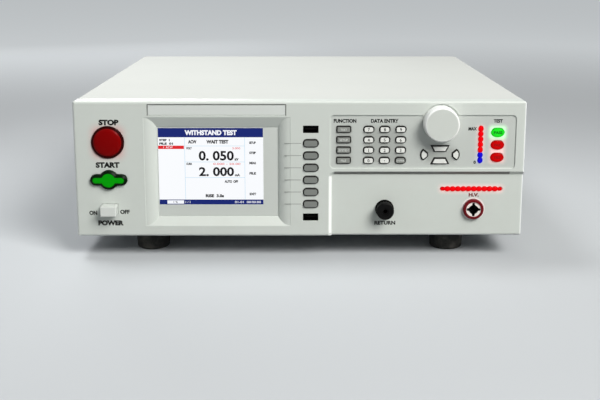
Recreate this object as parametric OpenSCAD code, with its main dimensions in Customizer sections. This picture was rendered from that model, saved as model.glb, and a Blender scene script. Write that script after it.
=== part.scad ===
// Bench hipot tester: a sheet-metal cabinet behind a moulded control bezel, with a colour
// display, soft keys, a keypad, an adjusting knob, lamps and high-voltage test terminals.
// Millimetres. +X is to the right seen from the front, the front faces -Y, and +Z is up.
// The origin lies under the middle of the instrument, on the surface that it stands on.
// Places on the front are an x from its middle, a z from the cabinet's underside, and a
// depth behind its face.

/* [Case] */
// Width of the cabinet
body_w = 430; // [420:1:460]
// Height of the cabinet without its feet
body_h = 132; // [131:1:150]
// Depth from the front face to the rear edge of the cover
body_d = 420; // [400:1:480]
// Thickness of the sheet-metal cover, tray and rear panel
sheet_t = 1.5; // [1:0.1:2]
// Outer bend radius of the cover
cover_bend_r = 3; // [2.5:0.5:5]
// Gap left between the cover and the sheets that slide inside it
sheet_fit = 0.2; // [0.1:0.1:0.5]
// How far the rear panel lies inside the rear edge of the cover
rear_inset = 3; // [2:0.5:6]
// Height of the tray's side flanges
tray_flange = 14; // [12:1:20]
// Height of the tray's front flange
tray_lip = 10; // [8:1:12]
// Depth of the rear panel's bent edges
rear_flange = 9; // [6:1:12]
// Number of ventilation slots in each side of the cover
vent_count = 16; // [8:1:20]
// Pitch of the ventilation slots
vent_pitch = 8; // [6:0.5:10]
// Width of a ventilation slot
vent_w = 3; // [2:0.5:4]
// Length of a ventilation slot
vent_l = 42; // [20:1:60]
// Head diameter of a case screw
screw_head_d = 6; // [5:0.5:8]
// Head height of a case screw
screw_head_h = 1.8; // [1:0.1:2.5]
// Shank diameter of a case screw
screw_d = 3; // [2.5:0.5:4]
// Length of a case screw under its head
screw_l = 6; // [5:1:10]

/* [Feet] */
// Height of a foot
foot_h = 22; // [14:0.5:28]
// Diameter of a foot where it meets the tray
foot_d = 35; // [28:1:40]
// How much narrower the foot is at the floor
foot_taper = 3; // [0:0.5:6]
// Rounding of the foot's lower edge
foot_r = 2.5; // [1:0.5:4]
// Diameter of the screw recess in a foot
foot_bore_d = 10; // [8:0.5:14]
// Thickness of rubber left above the screw recess
foot_web = 4; // [3:0.5:6]
// From the side of the body to the middle of a foot
foot_side = 67; // [45:1:95]
// Distance of the feet from the front face and from the rear edge
foot_inset = 42; // [38:1:80]

/* [Front bezel] */
// Depth of the bezel
bezel_d = 16; // [15:0.5:20]
// Thickness of the bezel's front wall
bezel_wall = 3.5; // [3:0.1:4]
// Thickness of the bezel's side walls
skirt_t = 3; // [2.5:0.5:4]
// Rounding of the bezel's front edges
bezel_edge_r = 2.2; // [1:0.1:3]
// Rounding of the bezel's corners
bezel_corner_r = 3; // [2.5:0.5:5]
// Diameter of the posts that carry the boards
boss_d = 7; // [6:0.5:8]
// Width of the bare plate recess over the display
plate_w = 131; // [110:1:135]
// Height of the bare plate recess
plate_h = 10.4; // [8:0.2:10.8]
// Middle of the bare plate recess above the underside
plate_z = 123.4; // [123:0.1:124]
// Depth of the bare plate recess
plate_depth = 0.7; // [0.3:0.1:1]

/* [Display] */
// Middle of the display recess, as a share of the width
lcd_at = -0.1828; // [-0.19:0.0001:-0.177]
// Middle of the display recess, upwards
lcd_z = 63.4; // [62:0.1:64]
// Width of the display recess at the face
lcd_w = 139.3; // [135:0.1:142]
// Height of the display recess at the face
lcd_h = 106.4; // [100:0.1:107]
// Depth of the display recess
lcd_depth = 5.5; // [4.5:0.1:7]
// Width of the recess's rounded side walls
lcd_side = 11.9; // [9:0.1:13]
// Width of the recess's upper slope
lcd_slope_top = 10.5; // [8:0.1:12]
// Width of the recess's lower slope
lcd_slope_bottom = 8.5; // [7:0.1:10]
// Small square lip where the rounded walls meet the face
lcd_lip = 0.2; // [0.1:0.1:0.4]
// Wall left around the recess behind the face
lcd_rib = 3; // [2:0.5:4]
// Width of the picture area
screen_w = 100.6; // [90:0.1:102]
// Height of the picture area
screen_h = 75.2; // [60:0.1:76]
// Margin between the picture and the left and upper edges of the mask
screen_margin = 0.8; // [0.5:0.1:2]
// How far the glass lies behind the mask
screen_sink = 0.4; // [0.2:0.1:0.8]
// Thickness of the mask around the picture
mask_t = 1.5; // [1:0.1:2]
// How far the mask reaches behind the recess's edge
mask_lap = 5; // [3:0.5:6]
// Thickness of the display module behind the mask
module_t = 7; // [5:0.5:10]
// How much larger the display module is than its picture, on each side
module_lap = 6; // [3:0.5:8]

/* [Keys] */
// Gap around every key and button in its hole
key_gap = 0.3; // [0.2:0.05:0.4]
// Travel of a key
key_travel = 1; // [0.6:0.1:1.2]
// How far the key caps stand out of the panel
key_proud = 1.8; // [1:0.1:2.5]
// Dark base showing around each key cap
key_rim = 0.9; // [0.5:0.1:1.2]
// Rounding of the key caps' front edges
key_edge = 0.6; // [0.3:0.1:0.8]
// How far the key's flange reaches behind the wall
key_flange = 1; // [0.8:0.1:1.1]
// Thickness of the key's flange
flange_t = 1.5; // [1:0.1:2]
// Play between the flange and the wall
key_seat = 0.3; // [0.2:0.05:0.4]
// Length of a key's stem behind its flange
stem_l = 2.5; // [2:0.1:3]
// Diameter of a key's stem
stem_d = 4; // [3:0.5:5]
// Side of a key switch
switch_w = 6; // [5:0.5:6.5]
// Height of a key switch
switch_h = 3.5; // [3:0.1:4.5]
// Thickness of the circuit boards
board_t = 1.6; // [1:0.1:2]
// Width of a soft key's hole
soft_w = 15.4; // [13:0.1:16]
// Height of a soft key's hole
soft_h = 8.5; // [7:0.1:9]
// Middle of the soft keys and data sockets, as a share of the width
soft_at = 0.0247; // [0.021:0.0001:0.028]
// Middle of the top soft key
soft_top = 91.5; // [90:0.1:93]
// Pitch of the soft keys
soft_pitch = 11.9; // [11.6:0.1:12]
// Middle of the function keys, as a share of the width
function_at = 0.0974; // [0.093:0.0001:0.1]
// Width of a function key's hole
function_w = 14.5; // [12:0.1:15]
// Middle of the first number keys, as a share of the width
number_at = 0.1528; // [0.149:0.0001:0.156]
// Pitch of the number keys' columns
number_pitch = 15.2; // [14:0.1:16]
// Width of a number key's hole
number_w = 11; // [9:0.1:11.5]
// Middle of the keypad's top row
row_top = 104.8; // [104:0.1:105.5]
// Pitch of the keypad's rows
row_pitch = 10; // [9.8:0.1:10.2]
// Height of the function and number keys' holes
row_h = 7.3; // [6.5:0.1:7.5]
// Corner rounding of the function keys
function_r = 2; // [1:0.1:3]

/* [Keypad field] */
// Left edge of the sunk keypad field, as a share of the width
field_left_at = 0.0672; // [0.063:0.0001:0.07]
// Right edge of the sunk keypad field, as a share of the width
field_right_at = 0.4784; // [0.472:0.0001:0.481]
// Lower edge of the sunk keypad field
field_z0 = 67; // [66.5:0.1:68]
// Upper edge of the sunk keypad field
field_z1 = 118.6; // [117:0.1:120]
// Depth of the sunk keypad field
field_depth = 1; // [0.5:0.1:1.3]
// Corner rounding of the keypad field
field_r = 4; // [2:0.5:6]

/* [Arrow keys and knob] */
// Middle of the knob and the arrow keys, as a share of the width
knob_at = 0.3112; // [0.307:0.0001:0.316]
// Middle of the knob, upwards
knob_z = 111; // [110:0.1:111.2]
// Diameter of the knob at its foot
knob_d = 34; // [30:0.1:34.5]
// Diameter of the knob at its front
knob_front_d = 32.6; // [28:0.1:33]
// How far the knob stands out of the face
knob_h = 12; // [10:0.5:18]
// Rounding of the knob's front edge
knob_edge = 1.6; // [1:0.1:3]
// Wall thickness of the knob
knob_wall = 2.4; // [2:0.1:3]
// Diameter of the knob's inner hub
knob_hub_d = 11; // [10:0.5:14]
// Diameter of the sunk circle around the knob
knob_well_d = 36.8; // [36:0.1:37]
// Diameter of the encoder's shaft
shaft_d = 6; // [5:0.5:6]
// Running clearance around the shaft, on the radius
shaft_fit = 0.05; // [0.02:0.01:0.1]
// Diameter of the encoder's bush
bush_d = 9; // [8.5:0.1:9.5]
// Side of the encoder's body
encoder_w = 13; // [12:0.5:15]
// Distance of the arrow keys' middle above the underside
arrow_z = 80.3; // [79.5:0.1:81]
// Distance of the upper and lower arrow keys from that middle
arrow_rise = 6; // [5.6:0.1:6.4]
// Distance of the left and right arrow keys from the knob's middle line
arrow_reach = 15.1; // [14.8:0.1:15.6]
// Long side of the upper and lower arrow keys
arrow_long = 18.6; // [17.5:0.1:18.8]
// Short side of the upper and lower arrow keys
arrow_short = 11.5; // [10:0.1:12]
// Depth of the upper and lower arrow keys
arrow_h = 6.9; // [6:0.1:7]
// Width of the side arrow keys
side_w = 7.9; // [7:0.1:8.2]
// Height of the side arrow keys
side_h = 11.8; // [11:0.1:12]
// Height of the side arrow keys' straight inner edge
side_flat = 3.8; // [3:0.1:5]

/* [Main buttons] */
// Middle of the main buttons, as a share of the width
button_at = -0.4247; // [-0.432:0.0001:-0.421]
// Middle of the stop button, upwards
stop_z = 92.4; // [91:0.1:93]
// Diameter of the stop button
stop_d = 31; // [28:0.1:31.5]
// Middle of the start button, upwards
start_z = 56; // [55:0.1:57]
// Diameter of the start button's round middle
start_d = 18.4; // [16:0.1:19]
// Width of the start button over its wings
start_w = 35; // [32:0.1:36]
// Height of the start button's wings
start_wing = 10.4; // [9:0.1:11]
// How far the stop and start buttons stand out
button_proud = 4; // [3:0.1:6]
// Width of the sloped edge of the stop and start buttons
button_bevel = 2; // [1:0.1:2.4]
// Travel of the stop and start buttons
button_travel = 1.8; // [1:0.1:2]
// Diameter of the stop and start buttons' stems
button_stem_d = 8; // [6:0.5:10]
// Middle of the power button, upwards
power_z = 27; // [26:0.1:28]
// Width of the power button
power_w = 15.2; // [13:0.1:16]
// Height of the power button
power_h = 10; // [9:0.1:11]
// How far the latched power button stands out
power_proud = 11; // [8:0.1:13]
// How far the power button springs out when it is released
power_out = 3; // [2:0.1:3]
// How far the power button goes in past its latch
power_in = 1; // [0.5:0.1:1.2]
// Rounding of the power button's edges
power_edge = 0.8; // [0.4:0.1:1.5]

/* [Lamps] */
// Diameter of the small lamps
led_d = 4.2; // [3:0.1:4.4]
// Pitch of the small lamps
led_pitch = 5.08; // [5.02:0.01:5.2]
// How far the small lamps stand out
led_proud = 1.5; // [1:0.1:2.5]
// Width of the rim behind the wall that holds a small lamp
led_rim = 0.36; // [0.2:0.02:0.38]
// Middle of the level lamps, as a share of the width
level_at = 0.4007; // [0.396:0.0001:0.404]
// Middle of the top level lamp
level_top = 105.5; // [105:0.1:107]
// Number of red level lamps
level_red = 5; // [4:1:5]
// Number of blue level lamps
level_blue = 2; // [1:1:2]
// Middle of the row of high-voltage lamps, as a share of the width
hv_row_at = 0.3842; // [0.382:0.0001:0.388]
// Middle of the row of high-voltage lamps, upwards
hv_row_z = 46.4; // [45:0.1:48]
// Number of high-voltage lamps
hv_row_count = 12; // [8:1:12]
// Middle of the result lamps, as a share of the width
lamp_at = 0.4381; // [0.436:0.0001:0.441]
// Width of a result lamp
lamp_w = 12.4; // [11:0.1:13]
// Height of a result lamp
lamp_h = 8.9; // [8:0.1:9.5]
// Middle of the top result lamp
lamp_top = 101.9; // [101:0.1:103]
// Pitch of the result lamps
lamp_pitch = 12.1; // [11.8:0.1:12.4]
// How far the result lamps stand out
lamp_proud = 1.6; // [1:0.1:2.5]

/* [Data sockets] */
// Width of a data socket
usb_w = 14.6; // [14.2:0.1:15]
// Height of a data socket
usb_h = 6.9; // [6.6:0.1:7.4]
// Width of the socket's mouth
usb_mouth_w = 12.5; // [12.2:0.1:12.8]
// Height of the socket's mouth
usb_mouth_h = 5.1; // [4.9:0.1:5.3]
// Depth of the socket's mouth
usb_mouth_d = 10; // [8:0.5:11]
// Thickness of the socket's tongue
usb_tongue_t = 1.8; // [1.5:0.1:2]
// Middle of the upper data socket, upwards
usb_top_z = 105; // [104.5:0.1:107]
// Middle of the lower data socket, upwards
usb_low_z = 19; // [17:0.1:20]

/* [Output terminals] */
// Left edge of the sunk output area, as a share of the width
out_at = 0.0649; // [0.063:0.0001:0.067]
// Upper edge of the sunk output area
out_z = 64; // [62:0.1:64.5]
// Depth of the sunk output area
out_depth = 3; // [2:0.1:4]
// Width of the slope around the output area
out_slope = 3.2; // [2:0.1:4]
// Corner rounding of the output area at the face
out_r = 6; // [5:0.5:10]
// Middle of the terminals, upwards
terminal_z = 26.6; // [25.5:0.1:28]
// Middle of the return terminal, as a share of the width
return_at = 0.1907; // [0.186:0.0001:0.209]
// Diameter of the return terminal's cap
cap_d = 16.6; // [15:0.1:18]
// Length of the return terminal's cap
cap_l = 8.5; // [7:0.5:12]
// Diameter of the return terminal's stud
stud_d = 7; // [6.5:0.1:8]
// Diameter of the plug hole in the stud
plug_d = 4.1; // [4:0.05:4.2]
// Depth of the plug hole
plug_depth = 16; // [14:1:20]
// Thickness of the clamp washer under the cap
washer_t = 1.2; // [1:0.1:2]
// Diameter of the clamp washer
washer_d = 13; // [11:0.5:15]
// Gap left between the base, the washer and the cap
clamp_gap = 0.1; // [0.05:0.05:0.2]
// Height of the return terminal's base above the output floor
base_h = 2; // [1.5:0.1:3]
// Diameter of the return terminal's base
base_d = 18; // [16:0.5:20]
// How far the stud ends behind the cap's front
stud_sink = 1.2; // [0.5:0.1:2]
// Length of the terminals behind the output floor
terminal_l = 24; // [20:1:30]
// Middle of the high-voltage socket, as a share of the width
hv_at = 0.3898; // [0.384:0.0001:0.395]
// Outer diameter of the high-voltage socket's ring
hv_ring_d = 19.8; // [18:0.1:21]
// Diameter of the high-voltage socket's barrel behind the floor
hv_barrel_d = 17; // [16.8:0.1:18]
// Diameter of the high-voltage socket's insulator
hv_core_d = 14.3; // [13:0.1:14.4]
// How far the socket's ring stands out of the output floor
hv_proud = 4; // [3:0.1:6]
// How far the insulator lies behind the ring's front
hv_sink = 0.6; // [0.3:0.1:1]
// Width across the star-shaped keyway in the insulator
star_w = 13.4; // [12:0.1:13.5]
// Diameter of the round hole behind the keyway
hv_bore_d = 5; // [4.5:0.1:6]
// Width of the keyway's tips
star_tip = 2.2; // [1:0.1:2.4]
// Width across the keyway's waist
star_waist = 7.6; // [7:0.1:9]
// Depth of the keyway
star_depth = 6; // [4:0.5:8]
// Length of the round hole behind the keyway
hv_bore_l = 12; // [8:1:12]
// Gap around the insulator in its socket
core_fit = 0.05; // [0.02:0.01:0.1]
// Height of the nuts behind the output floor
nut_h = 4; // [3:0.5:5]

/* [Rear] */
// Side of the fan's frame
fan_w = 80; // [80:1:92]
// Depth of the fan
fan_t = 25; // [20:1:32]
// Middle of the fan, as a share of the width
fan_at = -0.279; // [-0.32:0.0001:-0.24]
// Middle of the fan, upwards
fan_z = 68; // [66:1:72]
// How much closer the fan's screws are than its sides
fan_screw_inset = 8.5; // [8:0.1:9]
// Wall of the fan's frame at its thinnest
fan_rim = 2; // [1.5:0.1:3]
// Diameter of the fan's motor hub
fan_hub_d = 32; // [28:1:36]
// Gap between the blades and the duct
fan_tip_gap = 1.2; // [0.8:0.1:2]
// Diameter of the fan's shaft
fan_shaft_d = 4; // [3:0.5:5]
// Number of blades
blade_count = 7; // [5:1:9]
// Pitch angle of the blades
blade_pitch = 38; // [30:1:45]
// Number of ring slots in the fan's guard
guard_rings = 5; // [4:1:5]
// Width of the guard's slots
guard_slot = 3.4; // [3:0.1:3.6]
// Distance from one ring slot to the next
guard_pitch = 6.4; // [6:0.1:6.6]
// Width of the guard's spokes
guard_spoke = 5; // [4:0.5:8]
// Middle of the power inlet, as a share of the width
inlet_at = 0.3721; // [0.33:0.0001:0.384]
// Middle of the power inlet, upwards
inlet_z = 36; // [30:1:60]
// Width of the power inlet's flange
inlet_flange_w = 50; // [48:0.5:52]
// Height of the power inlet's flange
inlet_flange_h = 27; // [26:0.5:30]
// Thickness of the power inlet's flange
inlet_flange_t = 2.6; // [2:0.1:3]
// Width of the power inlet's mouth
inlet_mouth_w = 24.6; // [24:0.1:25]
// Height of the power inlet's mouth
inlet_mouth_h = 17; // [16.6:0.1:17.4]
// Depth of the power inlet's mouth
inlet_depth = 17; // [15:0.5:19]
// Wall of the power inlet's body
inlet_wall = 1.6; // [1.2:0.1:2]
// Spacing of the power inlet's screws
inlet_screw_pitch = 40; // [40:0.5:41]
// Middle of the remote port, as a share of the width
port_at = 0.1395; // [0.1:0.0001:0.18]
// Middle of the remote port, upwards
port_z = 92; // [60:1:100]
// Distance between the two nine-way sockets
port_gap = 46; // [36:1:60]
// Middle of the earth terminal, as a share of the width
earth_at = 0.2512; // [0.235:0.0001:0.26]
// Diameter of the earth terminal's stud
earth_d = 5; // [4:0.5:6]
// Length of the earth terminal outside the rear panel
earth_l = 14; // [12:1:20]

/* [Inside] */
// Width of the transformer's core
core_w = 100; // [90:1:110]
// Height of the transformer's core
core_h = 84; // [70:1:90]
// Thickness of the transformer's core
core_t = 60; // [40:1:70]
// Width of the core's middle leg
core_leg = 32; // [28:1:36]
// Thickness of the core's yokes
core_yoke = 17; // [14:1:18]
// Gap between the winding and the core
winding_fit = 0.5; // [0.3:0.1:1]
// How far the winding stands out of the core
winding_out = 15; // [10:1:20]
// Width of the main board
main_w = 190; // [150:1:200]
// Length of the main board
main_l = 250; // [200:1:260]
// Height of the board's spacers
spacer_h = 8; // [6:1:12]
// Width of the amplifier's heatsink
sink_w = 60; // [50:1:70]
// Length of the amplifier's heatsink
sink_l = 120; // [80:1:150]
// Height of the amplifier's heatsink
sink_h = 60; // [40:1:80]
// Number of fins on the heatsink
fin_count = 9; // [6:1:10]
// Thickness of a fin
fin_t = 2; // [1.5:0.1:2.5]
// Thickness of the heatsink's base
sink_base = 6; // [4:1:10]

/* [Hidden] */
$fn = 48;
eps = 0.01;
over = 1;

// Colours
shell_colour = [0.80, 0.82, 0.79];
cover_colour = [0.86, 0.87, 0.86];
steel_colour = [0.70, 0.71, 0.72];
dark_key_colour = [0.46, 0.48, 0.46];
white_key_colour = [0.90, 0.91, 0.90];
black_colour = [0.07, 0.07, 0.07];
board_colour = [0.10, 0.34, 0.20];
red_colour = [0.80, 0.05, 0.05];

// Main planes
z0 = foot_h;
front_reach = max(knob_h, power_proud);
rear_reach = earth_l - rear_inset;
y_face = front_reach - (front_reach + body_d + rear_reach) / 2;
y_bezel = y_face + bezel_d;
y_rear = y_face + body_d;
y_panel = y_rear - rear_inset;
inner_w = body_w - 2 * (sheet_t + sheet_fit);
inner_top = z0 + body_h - sheet_t - sheet_fit;

// Places across the front and the rear
lcd_x = lcd_at * body_w;
soft_x = soft_at * body_w;
function_x = function_at * body_w;
number_x = number_at * body_w;
field_x0 = field_left_at * body_w;
field_x1 = field_right_at * body_w;
knob_x = knob_at * body_w;
button_x = button_at * body_w;
level_x = level_at * body_w;
hv_row_x = hv_row_at * body_w;
lamp_x = lamp_at * body_w;
out_x = out_at * body_w;
return_x = return_at * body_w;
hv_x = hv_at * body_w;
fan_x = fan_at * body_w;
inlet_x = inlet_at * body_w;
port_x = port_at * body_w;
port_xs = [port_x, port_x - port_gap];
earth_x = earth_at * body_w;
foot_x = body_w / 2 - foot_side;
fan_screw_pitch = fan_w - fan_screw_inset;
fan_duct_d = fan_w - 2 * fan_rim;

// Depths behind the face of the key stack
flange_d = bezel_wall + key_seat;
stem_d0 = flange_d + flange_t;
play = 0.3;
switch_top = stem_d0 + stem_l + key_travel + play;
board_d = switch_top + switch_h;
out_wall_d = out_depth + bezel_wall;

// Display window
lcd_round_r = (pow(lcd_side, 2) + pow(lcd_depth - lcd_lip, 2)) / (2 * (lcd_depth - lcd_lip));
window_x0 = lcd_x - lcd_w / 2 + lcd_side;
window_x1 = lcd_x + lcd_w / 2 - lcd_side;
window_z0 = lcd_z - lcd_h / 2 + lcd_slope_bottom;
window_z1 = lcd_z + lcd_h / 2 - lcd_slope_top;
screen_x = window_x0 + screen_margin + screen_w / 2;
screen_z = window_z1 - screen_margin - screen_h / 2;
mask_d = lcd_depth + mask_t;

// Places of the keys, switches, posts and lamps
soft_zs = [for (i = [0:5]) soft_top - i * soft_pitch];
row_zs = [for (i = [0:3]) row_top - i * row_pitch];
number_xs = [for (i = [0:2]) number_x + i * number_pitch];
arrow_places = [
    [knob_x, arrow_z + arrow_rise],
    [knob_x, arrow_z - arrow_rise],
    [knob_x - arrow_reach, arrow_z],
    [knob_x + arrow_reach, arrow_z]
];
key_places = concat(
    [for (z = soft_zs) [soft_x, z]],
    [for (z = row_zs) [function_x, z]],
    [for (x = number_xs, z = row_zs) [x, z]],
    arrow_places
);
post_gap = 15.5;
left_post_reach = 22.4;
left_post_zs = [72.5, 37.5];
left_posts = [for (x = [-1, 1], z = left_post_zs) [button_x + x * left_post_reach, z]];
right_posts = [
    [soft_x + post_gap, field_z0 + 3.5],
    [soft_x + post_gap, field_z1 - 4.5],
    [number_x + 2 * number_pitch + 11.8, row_top - 5],
    [level_x - 10.8, arrow_z + 4],
    [lamp_x + 13.4, lamp_top - lamp_pitch]
];
level_zs = [for (i = [0:level_red + level_blue - 1]) level_top - i * led_pitch];
hv_row_xs = [for (i = [0:hv_row_count - 1]) hv_row_x + (i - (hv_row_count - 1) / 2) * led_pitch];
lamp_zs = [for (i = [0:2]) lamp_top - i * lamp_pitch];
usb_zs = [usb_top_z, usb_low_z];

// Return terminal, from its base outwards
base_front = out_depth - base_h;
washer_back = base_front - clamp_gap;
cap_back = washer_back - washer_t - clamp_gap;
cap_front = cap_back - cap_l;
stud_front = cap_front + stud_sink;

// Small fixed gaps and thicknesses
lamp_fit = 0.1;
press_fit = 0.02;
base_sink = 0.2;
bevel_h = 1.5;
button_flange = 1.5;
button_stem_end = switch_top - button_travel - play;
arrow_flange_part = 0.6;
power_guide = 1.3;
power_back = bezel_wall + power_out + power_guide;
knob_clear = 0.5;
hub_back = 0;
bush_front = 0.4;
encoder_front = bezel_wall + 2;
encoder_floor = 0.8;
led_rim_t = 1;
lamp_edge = 1.2;
usb_sink = 0.3;
barrel_d = 12;
hv_floor = 2;
cap_edge = 1;
strut_gap = 0.5;
strut_t = 5;
blade_r = 22;
blade_t = 1.4;
blade_chord = 26;
inlet_body_w = inlet_mouth_w + 2 * inlet_wall;
inlet_body_h = inlet_mouth_h + 2 * inlet_wall;
port_body_w = 19;
port_body_h = 11;
earth_washer_t = 1;
earth_nut_h = 4;
port_pin_pitch = 2.77;
port_row_gap = 2.84;
port_pin_d = 1.1;
port_shell_l = 6;
port_flange_t = 1;
port_flange_w = 31;
port_flange_h = 12.6;
vent_start = 24;
port_body_l = 9;
port_jack_gap = 25;
port_jack_d = 5.4;
port_jack_h = 5;
earth_nut_d = 9;
earth_washer_d = 11;
earth_inner_l = 7;
winding_r = 6;
rear_screw_side = 16;
rear_screw_edge = 12;
board_rim = 7;
key_strip_w = 18;
button_switch_w = 12;

// Inside, as shares of the body
inner_left_x = -0.3023 * body_w;
transformer_y = y_bezel + 0.2262 * body_d;
heatsink_y = y_bezel + 0.4524 * body_d;
main_x = 0.1512 * body_w;
main_y = y_bezel + 0.119 * body_d;

// Parts on the main board
spacer_d = 6;
spacer_inset = 8;
can_d = 20;
can_h = 32;
can_y = 0.144 * main_l;
relay_w = 20;
relay_l = 28;
relay_h = 16;
relay_y = 0.312 * main_l;
potting_w = 110;
potting_l = 80;
potting_h = 44;
potting_y = 0.528 * main_l;

// Corner radius of a key with round ends
function end_r(h) = h / 2 - 0.2;

// Screw places: along the cover's sides, and around the rear panel
side_screw_ys = [for (t = [0.1, 0.5, 0.9]) y_bezel + t * (y_panel - rear_flange - y_bezel)];
side_screw_z = tray_flange / 2 + sheet_t / 2;
rear_screw_xs = [for (t = [-1, 0, 1]) t * (body_w / 2 - rear_screw_side)];
rear_screw_zs = [rear_screw_edge, body_h - rear_screw_edge];
rear_screw_places = [for (x = rear_screw_xs, z = rear_screw_zs) [x, z]];
foot_places = [
    for (x = [-1, 1], y = [y_face + foot_inset, y_rear - foot_inset]) [x * foot_x, y]
];

// Draws its children with x to the right, y up and z towards the viewer, on the front face
module on_front(x, z) {
    translate([x, y_face, z0 + z]) rotate([90, 0, 0]) children();
}

// The same on the rear panel, with z towards a viewer behind the instrument
module on_rear(x, z) {
    translate([x, y_panel, z0 + z]) rotate([90, 0, 180]) children();
}

// Extrudes an outline from one depth behind the face to a greater one
module slab(d0, d1) {
    translate([0, 0, -d1]) linear_extrude(d1 - d0) children();
}

// Outline with round ends
module pill(w, h) {
    square([w - h, h], center = true);
    for (s = [-1, 1]) translate([s * (w - h) / 2, 0]) circle(d = h);
}

// Rectangle with round corners
module round_rect(w, h, r) {
    square([w - 2 * r, h], center = true);
    square([w, h - 2 * r], center = true);
    for (x = [-1, 1], y = [-1, 1]) translate([x * (w / 2 - r), y * (h / 2 - r)]) circle(r);
}

// Section through a plate, with its two front edges rounded
module front_round(w, t, edge) {
    translate([-w / 2, 0]) square([w, t - edge]);
    translate([-w / 2 + edge, 0]) square([w - 2 * edge, t]);
    for (s = [-1, 1]) translate([s * (w / 2 - edge), t - edge]) circle(edge);
}

// Plate with round corners and rounded front edges, from z = 0 to z = t
module soft_block(w, h, t, r, edge) {
    intersection() {
        linear_extrude(t) round_rect(w, h, r);
        rotate([90, 0, 0]) linear_extrude(h + over, center = true) front_round(w, t, edge);
        rotate([90, 0, 90]) linear_extrude(w + over, center = true) front_round(h, t, edge);
    }
}

// Moves every edge of a convex outline inwards, its points running anticlockwise
function unit(v) = v / norm(v);
function inward(a, b) = let (e = unit(b - a)) [-e[1], e[0]];
function inset(points, d) = [
    for (i = [0:len(points) - 1])
        let (
            count = len(points),
            n0 = inward(points[(i + count - 1) % count], points[i]),
            n1 = inward(points[i], points[(i + 1) % count])
        )
        points[i] + d * (n0 + n1) / (1 + n0 * n1)
];

// Outline of the upper arrow key, and of the left one without its rounded side
long_arrow = [
    [-arrow_short / 2, -arrow_h / 2], [arrow_short / 2, -arrow_h / 2],
    [arrow_long / 2, arrow_h / 2], [-arrow_long / 2, arrow_h / 2]
];
side_r = (pow(side_h / 2, 2) + pow(side_w * 0.4, 2)) / (side_w * 0.8);
side_tip = -side_w / 2 + side_w * 0.4;
side_arrow = [
    [-side_w, -side_h / 2], [side_tip, -side_h / 2], [side_w / 2, -side_flat / 2],
    [side_w / 2, side_flat / 2], [side_tip, side_h / 2], [-side_w, side_h / 2]
];

module long_arrow_outline(d) {
    polygon(inset(long_arrow, d));
}

module side_arrow_outline(d) {
    intersection() {
        polygon(inset(side_arrow, d));
        translate([side_r - side_w / 2, 0]) circle(side_r - d);
    }
}

// Bezel

// Cut for the display: convex rounded walls at its sides, straight slopes above and below
module lcd_cut() {
    top = lcd_h / 2;
    back = -lcd_depth - over;
    on_front(lcd_x, lcd_z) intersection() {
        rotate([90, 0, 0]) linear_extrude(lcd_h + over, center = true) difference() {
            translate([-lcd_w / 2, back]) square([lcd_w, over - back]);
            for (s = [-1, 1])
                translate([s * lcd_w / 2, -lcd_lip - lcd_round_r]) circle(lcd_round_r);
        }
        rotate([90, 0, 90]) linear_extrude(lcd_w + over, center = true) polygon([
            [-top, over], [-top, 0],
            [-top + lcd_slope_bottom, -lcd_depth], [-top + lcd_slope_bottom, back],
            [top - lcd_slope_top, back], [top - lcd_slope_top, -lcd_depth],
            [top, 0], [top, over]
        ]);
    }
}

// Cut for the output area: sloped left and upper edges with a conical corner between them.
// Along the right and lower edges it goes deeper, where a rounded edge is put back.
module output_cut() {
    right = body_w / 2 - out_x + over;
    low = out_z + over;
    strip = bezel_edge_r + over;
    deep = out_depth + strip;
    on_front(out_x, out_z) {
        translate([0, -out_r, 0]) rotate([90, 0, 0]) linear_extrude(low - out_r) polygon([
            [0, over], [0, 0], [out_slope, -out_depth], [right, -out_depth], [right, over]
        ]);
        translate([out_r, 0, 0]) rotate([90, 0, 90]) linear_extrude(right - out_r) polygon([
            [0, over], [-low, over], [-low, -out_depth], [-out_slope, -out_depth], [0, 0]
        ]);
        translate([out_r, -out_r, -out_depth]) {
            cylinder(h = out_depth, r1 = out_r - out_slope, r2 = out_r);
            translate([0, 0, out_depth]) cylinder(h = over, r = out_r);
        }
        slab(-over, deep) translate([right - over - strip, -low])
            square([strip + over, low - out_slope]);
        slab(-over, deep) translate([out_slope, -low])
            square([right - out_slope, strip + over]);
    }
}

module bezel_form() {
    on_front(0, body_h / 2) translate([0, 0, -bezel_d])
        soft_block(body_w, body_h, bezel_d - out_depth, bezel_corner_r, bezel_edge_r);
    difference() {
        on_front(0, body_h / 2) translate([0, 0, -bezel_d])
            soft_block(body_w, body_h, bezel_d, bezel_corner_r, bezel_edge_r);
        output_cut();
    }
}

// Hollow behind the front wall, less the display's frame, the output area's wall and the posts
module bezel_hollow() {
    difference() {
        on_front(0, body_h / 2) slab(bezel_wall, bezel_d + over)
            square([body_w - 2 * skirt_t, body_h - 2 * skirt_t], center = true);
        on_front(out_x - bezel_wall, -over) slab(0, out_wall_d)
            square([body_w, out_z + bezel_wall + over]);
        on_front(lcd_x, lcd_z) slab(0, lcd_depth)
            square([lcd_w + 2 * lcd_rib, lcd_h + 2 * lcd_rib], center = true);
        for (p = concat(left_posts, right_posts))
            on_front(p[0], p[1]) slab(0, board_d) circle(d = boss_d);
    }
}

module keypad_field_cut() {
    w = field_x1 - field_x0;
    h = field_z1 - field_z0;
    on_front(field_x0 + w / 2, field_z0 + h / 2) slab(-over, field_depth)
        round_rect(w, h, field_r);
    on_front(knob_x, knob_z) slab(-over, field_depth) circle(d = knob_well_d);
}

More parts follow.
